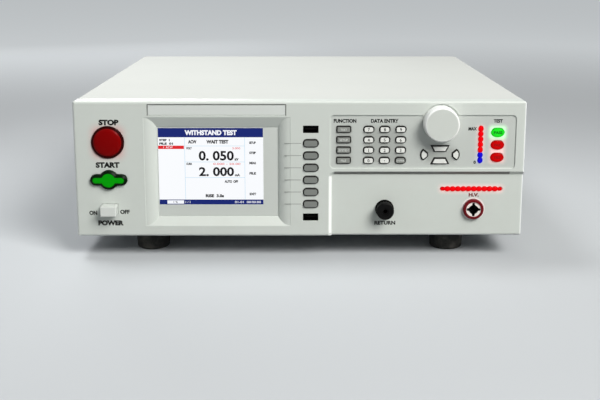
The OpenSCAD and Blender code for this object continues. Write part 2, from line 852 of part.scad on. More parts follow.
// Every hole through the front wall
module front_holes() {
    back = out_wall_d + over;
    wall = bezel_wall + over;
    for (z = soft_zs)
        on_front(soft_x, z) slab(-over, wall) round_rect(soft_w, soft_h, end_r(soft_h));
    for (z = row_zs) {
        on_front(function_x, z) slab(-over, wall) round_rect(function_w, row_h, function_r);
        for (x = number_xs)
            on_front(x, z) slab(-over, wall) round_rect(number_w, row_h, end_r(row_h));
    }
    for (i = [0, 1])
        on_front(arrow_places[i][0], arrow_places[i][1]) slab(-over, wall)
            mirror([0, i, 0]) long_arrow_outline(0);
    for (i = [0, 1])
        on_front(arrow_places[i + 2][0], arrow_places[i + 2][1]) slab(-over, wall)
            mirror([i, 0, 0]) side_arrow_outline(0);
    on_front(button_x, stop_z) slab(-over, wall) circle(d = stop_d + 2 * key_gap);
    on_front(button_x, start_z) slab(-over, wall) start_outline(key_gap);
    on_front(button_x, power_z) slab(-over, wall)
        square([power_w + 2 * key_gap, power_h + 2 * key_gap], center = true);
    for (z = level_zs) on_front(level_x, z) slab(-over, wall) circle(d = led_d + 2 * lamp_fit);
    for (x = hv_row_xs) on_front(x, hv_row_z) slab(-over, back) circle(d = led_d + 2 * lamp_fit);
    for (z = lamp_zs)
        on_front(lamp_x, z) slab(-over, wall)
            round_rect(lamp_w + 2 * lamp_fit, lamp_h + 2 * lamp_fit, end_r(lamp_h));
    for (z = usb_zs)
        on_front(soft_x, z) slab(-over, wall)
            square([usb_w + 2 * lamp_fit, usb_h + 2 * lamp_fit], center = true);
    on_front(knob_x, knob_z) slab(-over, wall) circle(d = bush_d + 2 * lamp_fit);
    on_front(return_x, terminal_z) slab(-over, back) circle(d = barrel_d + 2 * lamp_fit);
    on_front(hv_x, terminal_z) slab(-over, back) circle(d = hv_barrel_d + 2 * lamp_fit);
}

module front_bezel() {
    color(shell_colour) difference() {
        bezel_form();
        bezel_hollow();
        lcd_cut();
        keypad_field_cut();
        on_front(lcd_x, plate_z) slab(-over, plate_depth)
            square([plate_w, plate_h], center = true);
        front_holes();
    }
}

// Display

module lcd_frame() {
    w = window_x1 - window_x0 + 2 * mask_lap;
    h = window_z1 - window_z0 + 2 * mask_lap;
    color([0.77, 0.79, 0.77]) difference() {
        on_front(window_x0 - mask_lap, window_z0 - mask_lap) slab(lcd_depth, mask_d)
            square([w, h]);
        on_front(screen_x, screen_z) slab(lcd_depth - over, mask_d + over)
            square([screen_w + 2 * lamp_fit, screen_h + 2 * lamp_fit], center = true);
    }
}

module lcd_screen() {
    color([0.93, 0.95, 0.98]) on_front(screen_x, screen_z) {
        slab(lcd_depth + screen_sink, mask_d + eps) square([screen_w, screen_h], center = true);
        slab(mask_d, mask_d + module_t)
            square([screen_w + 2 * module_lap, screen_h + 2 * module_lap], center = true);
    }
}

// Keys and buttons

// Key in a hole of the given size: a cap on a dark base, a flange behind the wall and a stem
module rect_key(x, z, w, h, r, floor_d) {
    base_w = w - 2 * key_gap;
    base_h = h - 2 * key_gap;
    base_r = r - key_gap;
    on_front(x, z) {
        slab(floor_d + base_sink, flange_d + eps) round_rect(base_w, base_h, base_r);
        slab(flange_d, stem_d0)
            round_rect(w + 2 * key_flange, h + 2 * key_flange, r + key_flange);
        slab(stem_d0 - eps, stem_d0 + stem_l) circle(d = stem_d);
        translate([0, 0, -floor_d - base_sink - eps]) soft_block(
            base_w - 2 * key_rim, base_h - 2 * key_rim, key_proud + base_sink,
            base_r - key_rim, key_edge
        );
    }
}

// The same in an outline of another form, given by its index
module arrow_key(i) {
    color(white_key_colour) on_front(arrow_places[i][0], arrow_places[i][1]) {
        mirror([i == 3 ? 1 : 0, i == 1 ? 1 : 0, 0]) {
            slab(field_depth + base_sink, flange_d + eps) arrow_outline(i, key_gap);
            slab(flange_d, stem_d0) arrow_outline(i, -key_flange * arrow_flange_part);
            slab(field_depth - key_proud + key_edge, field_depth + base_sink + eps)
                arrow_outline(i, key_gap + key_rim);
            slab(field_depth - key_proud, field_depth - key_proud + key_edge + eps)
                arrow_outline(i, key_gap + key_rim + key_edge / 2);
        }
        slab(stem_d0 - eps, stem_d0 + stem_l) circle(d = stem_d);
    }
}

module arrow_outline(i, d) {
    if (i < 2) long_arrow_outline(d);
    else side_arrow_outline(d);
}

module softkey(i) {
    color(dark_key_colour) rect_key(soft_x, soft_zs[i], soft_w, soft_h, end_r(soft_h), 0);
}

module function_key(i) {
    color(dark_key_colour)
        rect_key(function_x, row_zs[i], function_w, row_h, function_r, field_depth);
}

module number_key(column, row, colour) {
    color(colour)
        rect_key(number_xs[column], row_zs[row], number_w, row_h, end_r(row_h), field_depth);
}

// Digits 1 to 9 run upwards from the third row, and 0 lies under them
module digit_key(n) {
    if (n == 0) number_key(0, 3, white_key_colour);
    else number_key((n - 1) % 3, 2 - floor((n - 1) / 3), white_key_colour);
}

module point_key() {
    number_key(1, 3, white_key_colour);
}

module enter_key() {
    number_key(2, 3, dark_key_colour);
}

module stop_button() {
    rim = button_proud - bevel_h;
    color([0.62, 0.03, 0.03]) on_front(button_x, stop_z) {
        slab(-rim, flange_d + eps) circle(d = stop_d);
        translate([0, 0, rim - eps])
            cylinder(h = bevel_h, d1 = stop_d, d2 = stop_d - 2 * button_bevel);
        slab(flange_d, stem_d0) circle(d = stop_d + 2 * button_flange);
        slab(stem_d0 - eps, button_stem_end) circle(d = button_stem_d);
    }
}

// Round middle with a wing to each side, grown by d
module start_outline(d) {
    circle(d = start_d + 2 * d);
    pill(start_w + 2 * d, start_wing + 2 * d);
}

module start_button() {
    rim = button_proud - bevel_h;
    half = (start_w - start_wing) / 2;
    edge = start_wing / 2;
    color([0.03, 0.60, 0.05]) on_front(button_x, start_z) {
        slab(-rim, flange_d + eps) start_outline(0);
        translate([0, 0, rim - eps]) {
            cylinder(h = bevel_h, d1 = start_d, d2 = start_d - 2 * button_bevel);
            for (s = [-1, 1]) translate([s * half, 0, 0])
                cylinder(h = bevel_h, r1 = edge, r2 = edge - button_bevel);
            rotate([90, 0, 90]) linear_extrude(2 * half, center = true) polygon([
                [-edge, 0], [edge, 0], [edge - button_bevel, bevel_h],
                [-edge + button_bevel, bevel_h]
            ]);
        }
        slab(flange_d, stem_d0) start_outline(button_flange);
        slab(stem_d0 - eps, button_stem_end) circle(d = button_stem_d);
    }
}

module power_button() {
    color(white_key_colour) on_front(button_x, power_z) translate([0, 0, -power_back])
        soft_block(power_w, power_h, power_proud + power_back, power_edge, power_edge);
}

// Board behind the main buttons, with their switches
module panel_switches() {
    low = power_z - power_h / 2 - board_rim;
    high = stop_z + stop_d / 2 + board_rim / 2;
    half = start_w / 2 + board_rim;
    color(board_colour) {
        on_front(button_x, 0) slab(board_d, board_d + board_t)
            translate([-half, low]) square([2 * half, high - low]);
        for (z = [stop_z, start_z])
            on_front(button_x, z) slab(switch_top, board_d + eps)
                square(button_switch_w, center = true);
        on_front(button_x, power_z) slab(power_back + power_in + play, board_d + eps)
            square([power_w, power_h], center = true);
    }
}

// Board behind the keypad and soft keys, with their switches
module key_board() {
    left = soft_x - key_strip_w / 2;
    top = field_z1 + 4;
    low = field_z0 + 1;
    strip_low = usb_low_z - 6;
    color(board_colour) {
        on_front(left, low) slab(board_d, board_d + board_t)
            square([field_x1 + 1.5 - left, top - low]);
        on_front(left, strip_low) slab(board_d, board_d + board_t)
            square([key_strip_w, top - strip_low]);
        for (p = key_places)
            on_front(p[0], p[1]) slab(switch_top, board_d + eps) square(switch_w, center = true);
    }
}

// Knob and encoder

// Hollow knob on a hub, with the shaft that turns in the encoder's bush
module knob() {
    foot = field_depth - knob_clear;
    front = -knob_h;
    r0 = knob_d / 2;
    r1 = knob_front_d / 2;
    bore_end = front + knob_wall;
    color(shell_colour) on_front(knob_x, knob_z) {
        difference() {
            rotate_extrude() {
                polygon([[0, -foot], [r0, -foot], [r1, -front - knob_edge], [0, -front - knob_edge]]);
                square([r1 - knob_edge, -front]);
                translate([r1 - knob_edge, -front - knob_edge]) intersection() {
                    circle(knob_edge);
                    square(knob_edge);
                }
            }
            difference() {
                slab(front + knob_wall, foot + over) circle(r1 - knob_wall);
                slab(front, hub_back) circle(d = knob_hub_d);
            }
            slab(bore_end, foot + over) circle(r = shaft_d / 2 + press_fit);
        }
        slab(bore_end + play, board_d - encoder_floor - play) circle(d = shaft_d);
    }
}

module encoder() {
    color(steel_colour) on_front(knob_x, knob_z) difference() {
        union() {
            slab(encoder_front, board_d) square(encoder_w, center = true);
            slab(bush_front, encoder_front + eps) circle(d = bush_d);
        }
        slab(bush_front - over, board_d - encoder_floor) circle(r = shaft_d / 2 + shaft_fit);
    }
}

// Lamps

// Round-nosed lamp with a rim behind the wall, whose faces lie at two depths
module led(x, z, floor_d, back_d) {
    r = led_d / 2;
    middle = led_proud - floor_d - r;
    on_front(x, z) rotate_extrude() {
        translate([0, -back_d - led_rim_t]) square([r, middle + back_d + led_rim_t]);
        translate([0, -back_d - led_rim_t]) square([r + led_rim, led_rim_t]);
        translate([0, middle]) intersection() {
            circle(r);
            square(r);
        }
    }
}

module red_leds() {
    color(red_colour) {
        for (i = [0:level_red - 1]) led(level_x, level_zs[i], field_depth, bezel_wall);
        for (x = hv_row_xs) led(x, hv_row_z, out_depth, out_wall_d);
    }
}

module blue_leds() {
    color([0.06, 0.06, 0.80])
        for (i = [level_red:level_red + level_blue - 1])
            led(level_x, level_zs[i], field_depth, bezel_wall);
}

module result_lamp(i) {
    on_front(lamp_x, lamp_zs[i]) {
        translate([0, 0, -bezel_wall - eps]) soft_block(
            lamp_w, lamp_h, bezel_wall - field_depth + lamp_proud, end_r(lamp_h), lamp_edge
        );
        slab(bezel_wall, bezel_wall + led_rim_t)
            round_rect(lamp_w + 2, lamp_h + 2, end_r(lamp_h));
    }
}

module pass_lamp() {
    color([0.10, 0.85, 0.20]) result_lamp(0);
}

module fail_lamps() {
    color(red_colour) for (i = [1, 2]) result_lamp(i);
}

module usb_ports() {
    tongue_y = usb_mouth_h / 2 - 1.2 - usb_tongue_t / 2;
    mouth_end = usb_sink + usb_mouth_d;
    color(black_colour) for (z = usb_zs) on_front(soft_x, z) {
        difference() {
            slab(usb_sink, board_d) square([usb_w, usb_h], center = true);
            slab(usb_sink - over, mouth_end) square([usb_mouth_w, usb_mouth_h], center = true);
        }
        slab(usb_sink + 1, mouth_end + eps) translate([0, tongue_y])
            square([usb_mouth_w - 1.4, usb_tongue_t], center = true);
    }
}

// Output terminals

// Hexagon nut behind the output area's wall
module panel_nut(across) {
    translate([0, 0, -out_wall_d - nut_h]) cylinder(h = nut_h, d = across, $fn = 6);
}

module return_post() {
    color(black_colour) on_front(return_x, terminal_z) difference() {
        union() {
            slab(base_front, out_depth) circle(d = base_d);
            slab(out_depth - eps, out_wall_d + nut_h) circle(d = barrel_d);
            slab(stud_front, out_depth + terminal_l) circle(d = stud_d);
            panel_nut(barrel_d + 6);
        }
        slab(stud_front - over, stud_front + plug_depth) circle(d = plug_d);
    }
}

module return_washer() {
    color(steel_colour) on_front(return_x, terminal_z) slab(washer_back - washer_t, washer_back)
        difference() {
            circle(d = washer_d);
            circle(r = stud_d / 2 + shaft_fit);
        }
}

// Round cap with a softened front edge and grip grooves around its side
module return_cap() {
    r = cap_d / 2;
    bore_r = stud_d / 2 + shaft_fit;
    grip_count = 20;
    grip_r = 0.9;
    color(black_colour) on_front(return_x, terminal_z) difference() {
        translate([0, 0, -cap_back]) rotate_extrude()
            translate([bore_r, 0]) front_edge_section(r - bore_r, cap_l);
        for (i = [0:grip_count - 1]) rotate(i * 360 / grip_count)
            slab(cap_front + 1.6 * cap_edge, cap_back + over)
                translate([r + grip_r / 3, 0]) circle(grip_r);
    }
}

// Rectangle from the origin with its outer front corner cut at 45 degrees
module front_edge_section(w, h) {
    polygon([[0, 0], [w, 0], [w, h - cap_edge], [w - cap_edge, h], [0, h]]);
}

module hv_socket() {
    ring = hv_proud - out_depth;
    r = hv_ring_d / 2;
    color([0.47, 0.12, 0.17]) on_front(hv_x, terminal_z) difference() {
        union() {
            translate([0, 0, -out_depth]) rotate_extrude() front_edge_section(r, hv_proud);
            slab(out_depth - eps, out_depth + terminal_l) circle(d = hv_barrel_d);
            panel_nut(hv_barrel_d + 7);
            slab(out_depth + terminal_l - eps, out_depth + terminal_l + 6) circle(d = 5);
        }
        slab(-ring - over, out_depth + terminal_l - hv_floor) circle(r = hv_core_d / 2 + core_fit);
    }
}

// Four-pointed star with hollow sides: tip to tip, width of a tip, and across its waist
module star(tips, tip, waist) {
    a = tips / 2;
    t = tip / 2;
    q = waist / 2 / sqrt(2);
    c = (a * a + t * t - 2 * q * q) / (2 * (a + t - 2 * q));
    difference() {
        square(tips, center = true);
        for (x = [-1, 1], y = [-1, 1]) translate([x * c, y * c]) circle(sqrt(2) * (c - q));
    }
}

module hv_insulator() {
    front = out_depth - hv_proud + hv_sink;
    color([0.92, 0.90, 0.87]) on_front(hv_x, terminal_z) difference() {
        slab(front, out_depth + terminal_l - hv_floor) circle(d = hv_core_d);
        slab(front - over, front + star_depth) star(star_w, star_tip, star_waist);
        slab(front, front + star_depth + hv_bore_l) circle(d = hv_bore_d);
    }
}

// Cabinet

module side_screw_holes() {
    for (y = side_screw_ys) translate([0, y, z0 + side_screw_z]) rotate([0, 90, 0])
        cylinder(d = screw_d + 2 * lamp_fit, h = body_w + over, center = true);
}

module top_cover() {
    l = y_rear - y_bezel;
    vent_y = y_panel - rear_flange - vent_start;
    color(cover_colour) difference() {
        translate([0, y_rear, z0]) rotate([90, 0, 0]) linear_extrude(l) difference() {
            front_round(body_w, body_h, cover_bend_r);
            translate([0, -over])
                front_round(body_w - 2 * sheet_t, body_h - sheet_t + over, cover_bend_r - sheet_t);
        }
        for (i = [0:vent_count - 1])
            translate([0, vent_y - i * vent_pitch, z0 + body_h / 2 + 8]) rotate([90, 0, 90])
                linear_extrude(body_w + over, center = true) rotate(90) pill(vent_l, vent_w);
        side_screw_holes();
    }
}

module chassis_tray() {
    flange_l = y_panel - rear_flange - sheet_fit - y_bezel;
    color(steel_colour) difference() {
        union() {
            translate([-inner_w / 2, y_bezel, z0]) cube([inner_w, y_panel - y_bezel, sheet_t]);
            translate([-inner_w / 2, y_bezel, z0]) cube([inner_w, sheet_t, tray_lip]);
            for (x = [-inner_w / 2, inner_w / 2 - sheet_t])
                translate([x, y_bezel, z0]) cube([sheet_t, flange_l, tray_flange]);
        }
        side_screw_holes();
        for (p = foot_places) translate([p[0], p[1], z0 - over])
            cylinder(d = screw_d + 2 * lamp_fit, h = sheet_t + 2 * over);
    }
}

module feet() {
    rt = foot_d / 2;
    rb = (foot_d - foot_taper) / 2;
    color(black_colour) for (p = foot_places) translate([p[0], p[1], 0]) difference() {
        rotate_extrude() {
            polygon([[0, foot_r], [rb, foot_r], [rt, foot_h], [0, foot_h]]);
            square([rb - foot_r, foot_r + eps]);
            translate([rb - foot_r, foot_r]) circle(foot_r);
        }
        translate([0, 0, -over]) cylinder(d = foot_bore_d, h = foot_h - foot_web + over);
        cylinder(d = screw_d + 2 * lamp_fit, h = foot_h + over);
    }
}

// Screw with a domed head on z = 0, a crossed slot and its shank below
module pan_screw() {
    dome_r = screw_head_d * 0.9;
    slot = 0.8;
    difference() {
        intersection() {
            cylinder(d = screw_head_d, h = screw_head_h);
            translate([0, 0, screw_head_h - dome_r]) sphere(dome_r);
        }
        for (a = [0, 90]) rotate(a) translate([-screw_head_d * 0.3, -slot / 2, screw_head_h - 1])
            cube([screw_head_d * 0.6, slot, 1 + over]);
    }
    translate([0, 0, -screw_l]) cylinder(d = screw_d, h = screw_l + eps);
}

module case_screws() {
    fan_half = fan_screw_pitch / 2;
    color(steel_colour) {
        for (y = side_screw_ys, s = [-1, 1])
            translate([s * body_w / 2, y, z0 + side_screw_z]) rotate([0, s * 90, 0]) pan_screw();
        for (p = rear_screw_places) on_rear(p[0], p[1]) pan_screw();
        for (x = [-1, 1], z = [-1, 1])
            on_rear(fan_x + x * fan_half, fan_z + z * fan_half) pan_screw();
        for (s = [-1, 1]) on_rear(inlet_x + s * inlet_screw_pitch / 2, inlet_z)
            translate([0, 0, inlet_flange_t]) pan_screw();
        for (p = foot_places) translate([p[0], p[1], foot_h - foot_web])
            rotate([180, 0, 0]) pan_screw();
    }
}

// Ring slots of the fan's guard, parted by crossed spokes
module guard_slots() {
    first = fan_duct_d / 2 - 1 - guard_slot - (guard_rings - 1) * guard_pitch;
    difference() {
        for (i = [0:guard_rings - 1]) difference() {
            circle(first + i * guard_pitch + guard_slot);
            circle(first + i * guard_pitch);
        }
        for (a = [45, 135]) rotate(a) square([fan_duct_d, guard_spoke], center = true);
    }
}

module rear_panel() {
    h = inner_top - z0 - sheet_t;
    hole = screw_d + 2 * lamp_fit;
    fan_half = fan_screw_pitch / 2;
    color(cover_colour) difference() {
        translate([0, y_panel, z0 + sheet_t]) rotate([90, 0, 0]) linear_extrude(rear_flange)
            front_round(inner_w, h, cover_bend_r - sheet_t);
        translate([-inner_w / 2 + sheet_t, y_panel - rear_flange - over, z0 + sheet_t - over])
            cube([inner_w - 2 * sheet_t, rear_flange - sheet_t + over, h - sheet_t + over]);
        on_rear(fan_x, fan_z) slab(-over, sheet_t + over) guard_slots();
        for (x = [-1, 1], z = [-1, 1])
            on_rear(fan_x + x * fan_half, fan_z + z * fan_half)
                slab(-over, sheet_t + over) circle(d = hole);
        for (p = rear_screw_places) on_rear(p[0], p[1]) slab(-over, sheet_t + over) circle(d = hole);
        on_rear(inlet_x, inlet_z) slab(-over, sheet_t + over) {
            square([inlet_body_w + 2 * lamp_fit, inlet_body_h + 2 * lamp_fit], center = true);
            for (s = [-1, 1]) translate([s * inlet_screw_pitch / 2, 0]) circle(d = hole);
        }
        for (x = port_xs) on_rear(x, port_z) slab(-over, sheet_t + over)
            square([port_body_w + 2 * lamp_fit, port_body_h + 2 * lamp_fit], center = true);
        on_rear(earth_x, inlet_z) slab(-over, sheet_t + over) circle(d = earth_d + 2 * lamp_fit);
    }
}

// Fan

// Square frame around the air duct, with a bearing hub held by four struts at the guard side
module fan_frame() {
    half = fan_screw_pitch / 2;
    color(black_colour) on_rear(fan_x, fan_z) difference() {
        union() {
            slab(sheet_t, sheet_t + fan_t) difference() {
                round_rect(fan_w, fan_w, 4);
                circle(d = fan_duct_d);
            }
            slab(sheet_t + strut_gap, sheet_t + strut_gap + strut_t) intersection() {
                for (a = [0, 90]) rotate(a + 12) square([fan_duct_d + 2, 4], center = true);
                circle(d = fan_duct_d + 2);
            }
            slab(sheet_t + strut_gap, sheet_t + strut_gap + strut_t) circle(d = fan_hub_d);
        }
        slab(sheet_t + strut_gap + 1, sheet_t + fan_t) circle(r = fan_shaft_d / 2 + shaft_fit);
        for (x = [-1, 1], y = [-1, 1]) translate([x * half, y * half])
            slab(sheet_t - over, sheet_t + fan_t + over) circle(d = screw_d + 2 * lamp_fit);
    }
}

// Curved section of a blade, turned to its pitch
module blade_section() {
    rotate(blade_pitch) intersection() {
        translate([0, -blade_r]) difference() {
            circle(blade_r + blade_t / 2);
            circle(blade_r - blade_t / 2);
        }
        square([blade_chord, blade_chord / 2], center = true);
    }
}

// Motor cup with its blades and the shaft that runs in the frame's hub
module fan_rotor() {
    back = sheet_t + fan_t - 1;
    front = sheet_t + strut_gap + strut_t + 1;
    middle = (front + back) / 2;
    tip_r = fan_duct_d / 2 - fan_tip_gap;
    color(black_colour) on_rear(fan_x, fan_z) {
        slab(front, back) circle(d = fan_hub_d);
        slab(sheet_t + strut_gap + 1.4, front + eps) circle(d = fan_shaft_d);
        intersection() {
            for (i = [0:blade_count - 1]) rotate(i * 360 / blade_count)
                translate([fan_hub_d / 2 - 1, 0, -middle]) rotate([90, 0, 90])
                    linear_extrude(tip_r) blade_section();
            slab(front, back) circle(tip_r);
        }
    }
}

// Rear connectors

module inlet_outline(w, h) {
    c = 5;
    polygon([
        [-w / 2, -h / 2], [w / 2, -h / 2], [w / 2, h / 2 - c], [w / 2 - c, h / 2],
        [-w / 2 + c, h / 2], [-w / 2, h / 2 - c]
    ]);
}

// Mains inlet with three blades in a keyed mouth
module power_inlet() {
    blades = [[-7, -2], [7, -2], [0, 2]];
    mouth_end = inlet_depth - inlet_flange_t;
    color(black_colour) on_rear(inlet_x, inlet_z) {
        difference() {
            union() {
                slab(-inlet_flange_t, 0) round_rect(inlet_flange_w, inlet_flange_h, 4);
                slab(-eps, mouth_end + 3) square([inlet_body_w, inlet_body_h], center = true);
            }
            slab(-inlet_flange_t - over, mouth_end) inlet_outline(inlet_mouth_w, inlet_mouth_h);
            for (s = [-1, 1]) translate([s * inlet_screw_pitch / 2, 0])
                slab(-inlet_flange_t - over, over) circle(d = screw_d + 2 * lamp_fit);
        }
        for (p = blades) translate(p) slab(0, mouth_end + eps) square([2, 4], center = true);
    }
}

// Two nine-way sockets: flange, keyed shell, contact block and two jack screws
module remote_port() {
    w = 17;
    h = 8.4;
    slope = 1.4;
    color(steel_colour) for (x = port_xs) on_rear(x, port_z) {
        slab(-port_flange_t, 0) round_rect(port_flange_w, port_flange_h, 1.5);
        slab(-port_shell_l, -port_flange_t + eps) difference() {
            polygon([[-w / 2 + slope, -h / 2], [w / 2 - slope, -h / 2], [w / 2, h / 2], [-w / 2, h / 2]]);
            for (i = [-2:2])
                translate([i * port_pin_pitch, port_row_gap / 2]) circle(d = port_pin_d);
            for (i = [-1.5:1.5])
                translate([i * port_pin_pitch, -port_row_gap / 2]) circle(d = port_pin_d);
        }
        slab(-eps, port_body_l) square([port_body_w, port_body_h], center = true);
        for (s = [-1, 1]) translate([s * port_jack_gap / 2, 0, port_flange_t - eps])
            cylinder(d = port_jack_d, h = port_jack_h, $fn = 6);
    }
}

// Threaded earth stud with a washer and a nut on the panel, and a nut inside
module earth_post() {
    color([0.78, 0.66, 0.36]) on_rear(earth_x, inlet_z) {
        slab(-earth_l, sheet_t + earth_inner_l) circle(d = earth_d);
        slab(-earth_washer_t, 0) circle(d = earth_washer_d);
        translate([0, 0, earth_washer_t - eps]) cylinder(d = earth_nut_d, h = earth_nut_h, $fn = 6);
        translate([0, 0, -sheet_t - earth_nut_h]) cylinder(d = earth_nut_d, h = earth_nut_h, $fn = 6);
    }
}

// Inside

module transformer_core() {
    window_w = (core_w - core_leg) / 2 - core_yoke;
    window_h = core_h - 2 * core_yoke;
    color([0.30, 0.30, 0.32]) translate([inner_left_x, transformer_y, z0 + sheet_t])
        rotate([90, 0, 0]) linear_extrude(core_t, center = true) difference() {
            translate([-core_w / 2, 0]) square([core_w, core_h]);
            for (s = [-1, 1])
                translate([s * (core_leg + window_w) / 2, core_h / 2])
                    square([window_w, window_h], center = true);
        }
}

module transformer_winding() {
    w = core_w - 2 * (core_yoke + winding_fit);
    h = core_h - 2 * (core_yoke + winding_fit);
    color([0.72, 0.38, 0.16])
        translate([inner_left_x, transformer_y, z0 + sheet_t + core_yoke + winding_fit])
        linear_extrude(h) difference() {
            round_rect(w, core_t + 2 * winding_out, winding_r);
            square([core_leg + 2 * winding_fit, core_t + 2 * winding_fit], center = true);
        }
}

// Board on four spacers with its capacitors, relays and potted high-voltage stage
module main_board() {
    board_z = z0 + sheet_t + spacer_h;
    top = board_z + board_t - eps;
    color(board_colour) {
        translate([main_x - main_w / 2, main_y, board_z]) cube([main_w, main_l, board_t]);
        for (x = [-1, 1], y = [spacer_inset, main_l - spacer_inset])
            translate([main_x + x * (main_w / 2 - spacer_inset), main_y + y, z0 + sheet_t])
                cylinder(d = spacer_d, h = spacer_h + eps);
        for (i = [-1.5:1.5]) translate([main_x + i * main_w / 5, main_y + can_y, top])
            cylinder(d = can_d, h = can_h);
        for (i = [-2:2]) translate([main_x + i * main_w / 6 - relay_w / 2, main_y + relay_y, top])
            cube([relay_w, relay_l, relay_h]);
        translate([main_x - potting_w / 2, main_y + potting_y, top])
            cube([potting_w, potting_l, potting_h]);
    }
}

module amplifier_heatsink() {
    pitch = (sink_w - fin_t) / (fin_count - 1);
    color([0.55, 0.56, 0.58])
        translate([inner_left_x, heatsink_y + sink_l, z0 + sheet_t]) rotate([90, 0, 0])
        linear_extrude(sink_l) {
            translate([-sink_w / 2, 0]) square([sink_w, sink_base]);
            for (i = [0:fin_count - 1])
                translate([-sink_w / 2 + i * pitch, 0]) square([fin_t, sink_h]);
        }
}

front_bezel();
chassis_tray();
top_cover();
rear_panel();
feet();
case_screws();
panel_switches();
lcd_frame();
lcd_screen();
key_board();
encoder();
knob();
stop_button();
start_button();
power_button();
softkey(0);  // softkey_1
softkey(1);  // softkey_2
softkey(2);  // softkey_3
softkey(3);  // softkey_4
softkey(4);  // softkey_5
softkey(5);  // softkey_6
function_key(0);  // function_key_1
function_key(1);  // function_key_2
function_key(2);  // function_key_3
function_key(3);  // function_key_4
digit_key(0);  // digit_key_0
digit_key(1);  // digit_key_1
digit_key(2);  // digit_key_2
digit_key(3);  // digit_key_3
digit_key(4);  // digit_key_4
digit_key(5);  // digit_key_5
digit_key(6);  // digit_key_6
digit_key(7);  // digit_key_7
digit_key(8);  // digit_key_8
digit_key(9);  // digit_key_9
point_key();
enter_key();
arrow_key(0);  // arrow_up
arrow_key(1);  // arrow_down
arrow_key(2);  // arrow_left
arrow_key(3);  // arrow_right
red_leds();
blue_leds();
pass_lamp();
fail_lamps();
usb_ports();
return_post();
return_washer();
return_cap();
hv_socket();
hv_insulator();
fan_frame();
fan_rotor();
power_inlet();
remote_port();
earth_post();
transformer_core();
transformer_winding();
main_board();
amplifier_heatsink();
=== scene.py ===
# %% [markdown]
# # A bench hipot tester
# The instrument is a sheet-metal cabinet with a moulded control front. The CAD model already holds
# every solid at its real size, so this lesson loads it as a fixed frame and never moves it. Blender
# adds what CAD leaves out: finishes, printed words, the lit picture on the display and the light.

# %% Load the frame
import math

import bpy
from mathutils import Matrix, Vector


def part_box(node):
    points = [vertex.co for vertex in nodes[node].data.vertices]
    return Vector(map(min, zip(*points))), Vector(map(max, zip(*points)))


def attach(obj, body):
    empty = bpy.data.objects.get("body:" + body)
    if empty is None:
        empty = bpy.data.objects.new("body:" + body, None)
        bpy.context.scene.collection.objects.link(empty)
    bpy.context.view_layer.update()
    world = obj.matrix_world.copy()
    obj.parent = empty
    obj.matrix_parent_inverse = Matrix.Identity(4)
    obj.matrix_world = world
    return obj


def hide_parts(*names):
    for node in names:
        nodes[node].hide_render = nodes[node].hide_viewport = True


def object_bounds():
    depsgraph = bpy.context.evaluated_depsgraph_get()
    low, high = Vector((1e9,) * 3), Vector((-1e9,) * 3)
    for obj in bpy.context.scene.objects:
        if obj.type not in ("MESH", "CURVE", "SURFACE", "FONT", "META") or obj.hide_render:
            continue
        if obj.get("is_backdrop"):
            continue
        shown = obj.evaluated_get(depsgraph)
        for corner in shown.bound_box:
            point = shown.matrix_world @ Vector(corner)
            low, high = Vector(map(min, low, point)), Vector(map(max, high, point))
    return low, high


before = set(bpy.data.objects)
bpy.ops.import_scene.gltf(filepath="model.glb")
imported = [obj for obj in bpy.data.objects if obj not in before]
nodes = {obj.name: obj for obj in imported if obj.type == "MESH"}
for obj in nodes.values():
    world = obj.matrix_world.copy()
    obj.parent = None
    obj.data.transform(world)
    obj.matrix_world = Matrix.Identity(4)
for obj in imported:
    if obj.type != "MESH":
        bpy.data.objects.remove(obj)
cad_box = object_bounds()
MM = 0.001
FACE_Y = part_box("front_bezel")[0].y
BODY_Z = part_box("feet")[1].z


def front(x, z, depth=0.0):
    """A point on the control front: millimetres right of the middle, above the cabinet's bottom, behind the face."""
    return Vector((x * MM, FACE_Y + depth * MM, BODY_Z + z * MM))


def centre_of(node):
    """The middle of a CAD node on the control front, in millimetres, as front() takes it."""
    low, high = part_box(node)
    return (low.x + high.x) / 2 / MM, ((low.z + high.z) / 2 - BODY_Z) / MM


def pick(*pieces):
    """Selects these pieces and nothing else, the first of them active."""
    bpy.ops.object.select_all(action="DESELECT")
    for piece in pieces:
        piece.select_set(True)
    if pieces:
        bpy.context.view_layer.objects.active = pieces[0]


print("cabinet bottom", round(BODY_Z, 4), "front face", round(FACE_Y, 4), "nodes", len(nodes))

# %% [markdown]
# ## Camera
# The photograph looks straight at the control front from a little above, so that the top cover shows
# as a narrow band. A level camera with a large shift would keep the uprights parallel, but the shift
# would push the object out of every other view. A small shift and a small tilt is the compromise.

# %% Camera
CAMERA_PLACE = Vector((0.0004, -1.1001, 0.2860))
CAMERA_TILT = math.radians(10.76)
CAMERA_LENS = 57.22
CAMERA_SHIFT = -0.1
pick()
bpy.ops.object.camera_add(location=CAMERA_PLACE, rotation=(math.pi / 2 - CAMERA_TILT, 0, 0))
camera = bpy.context.object
camera.name = "camera"
camera.data.lens = CAMERA_LENS
camera.data.shift_y = CAMERA_SHIFT
bpy.context.scene.camera = camera
print("camera", [round(v, 3) for v in camera.location], "lens", CAMERA_LENS)

# %% [markdown]
# ## Helpers for finishes
# Every finish in this scene is a tree of shader nodes. Such a tree can be drawn by hand in the shader
# editor, but finishes that share their parts come out more even when small functions place a node, join
# its inputs and mix two colours. Colours are written as a screen shows them, from 0 to 255.

# %% Colour and material helpers
def srgb(red, green, blue):
    """A screen colour, 0 to 255, as the linear colour that shaders take."""
    steps = [v / 255 for v in (red, green, blue)]
    return tuple(v / 12.92 if v <= 0.04045 else ((v + 0.055) / 1.055) ** 2.4 for v in steps) + (1.0,)


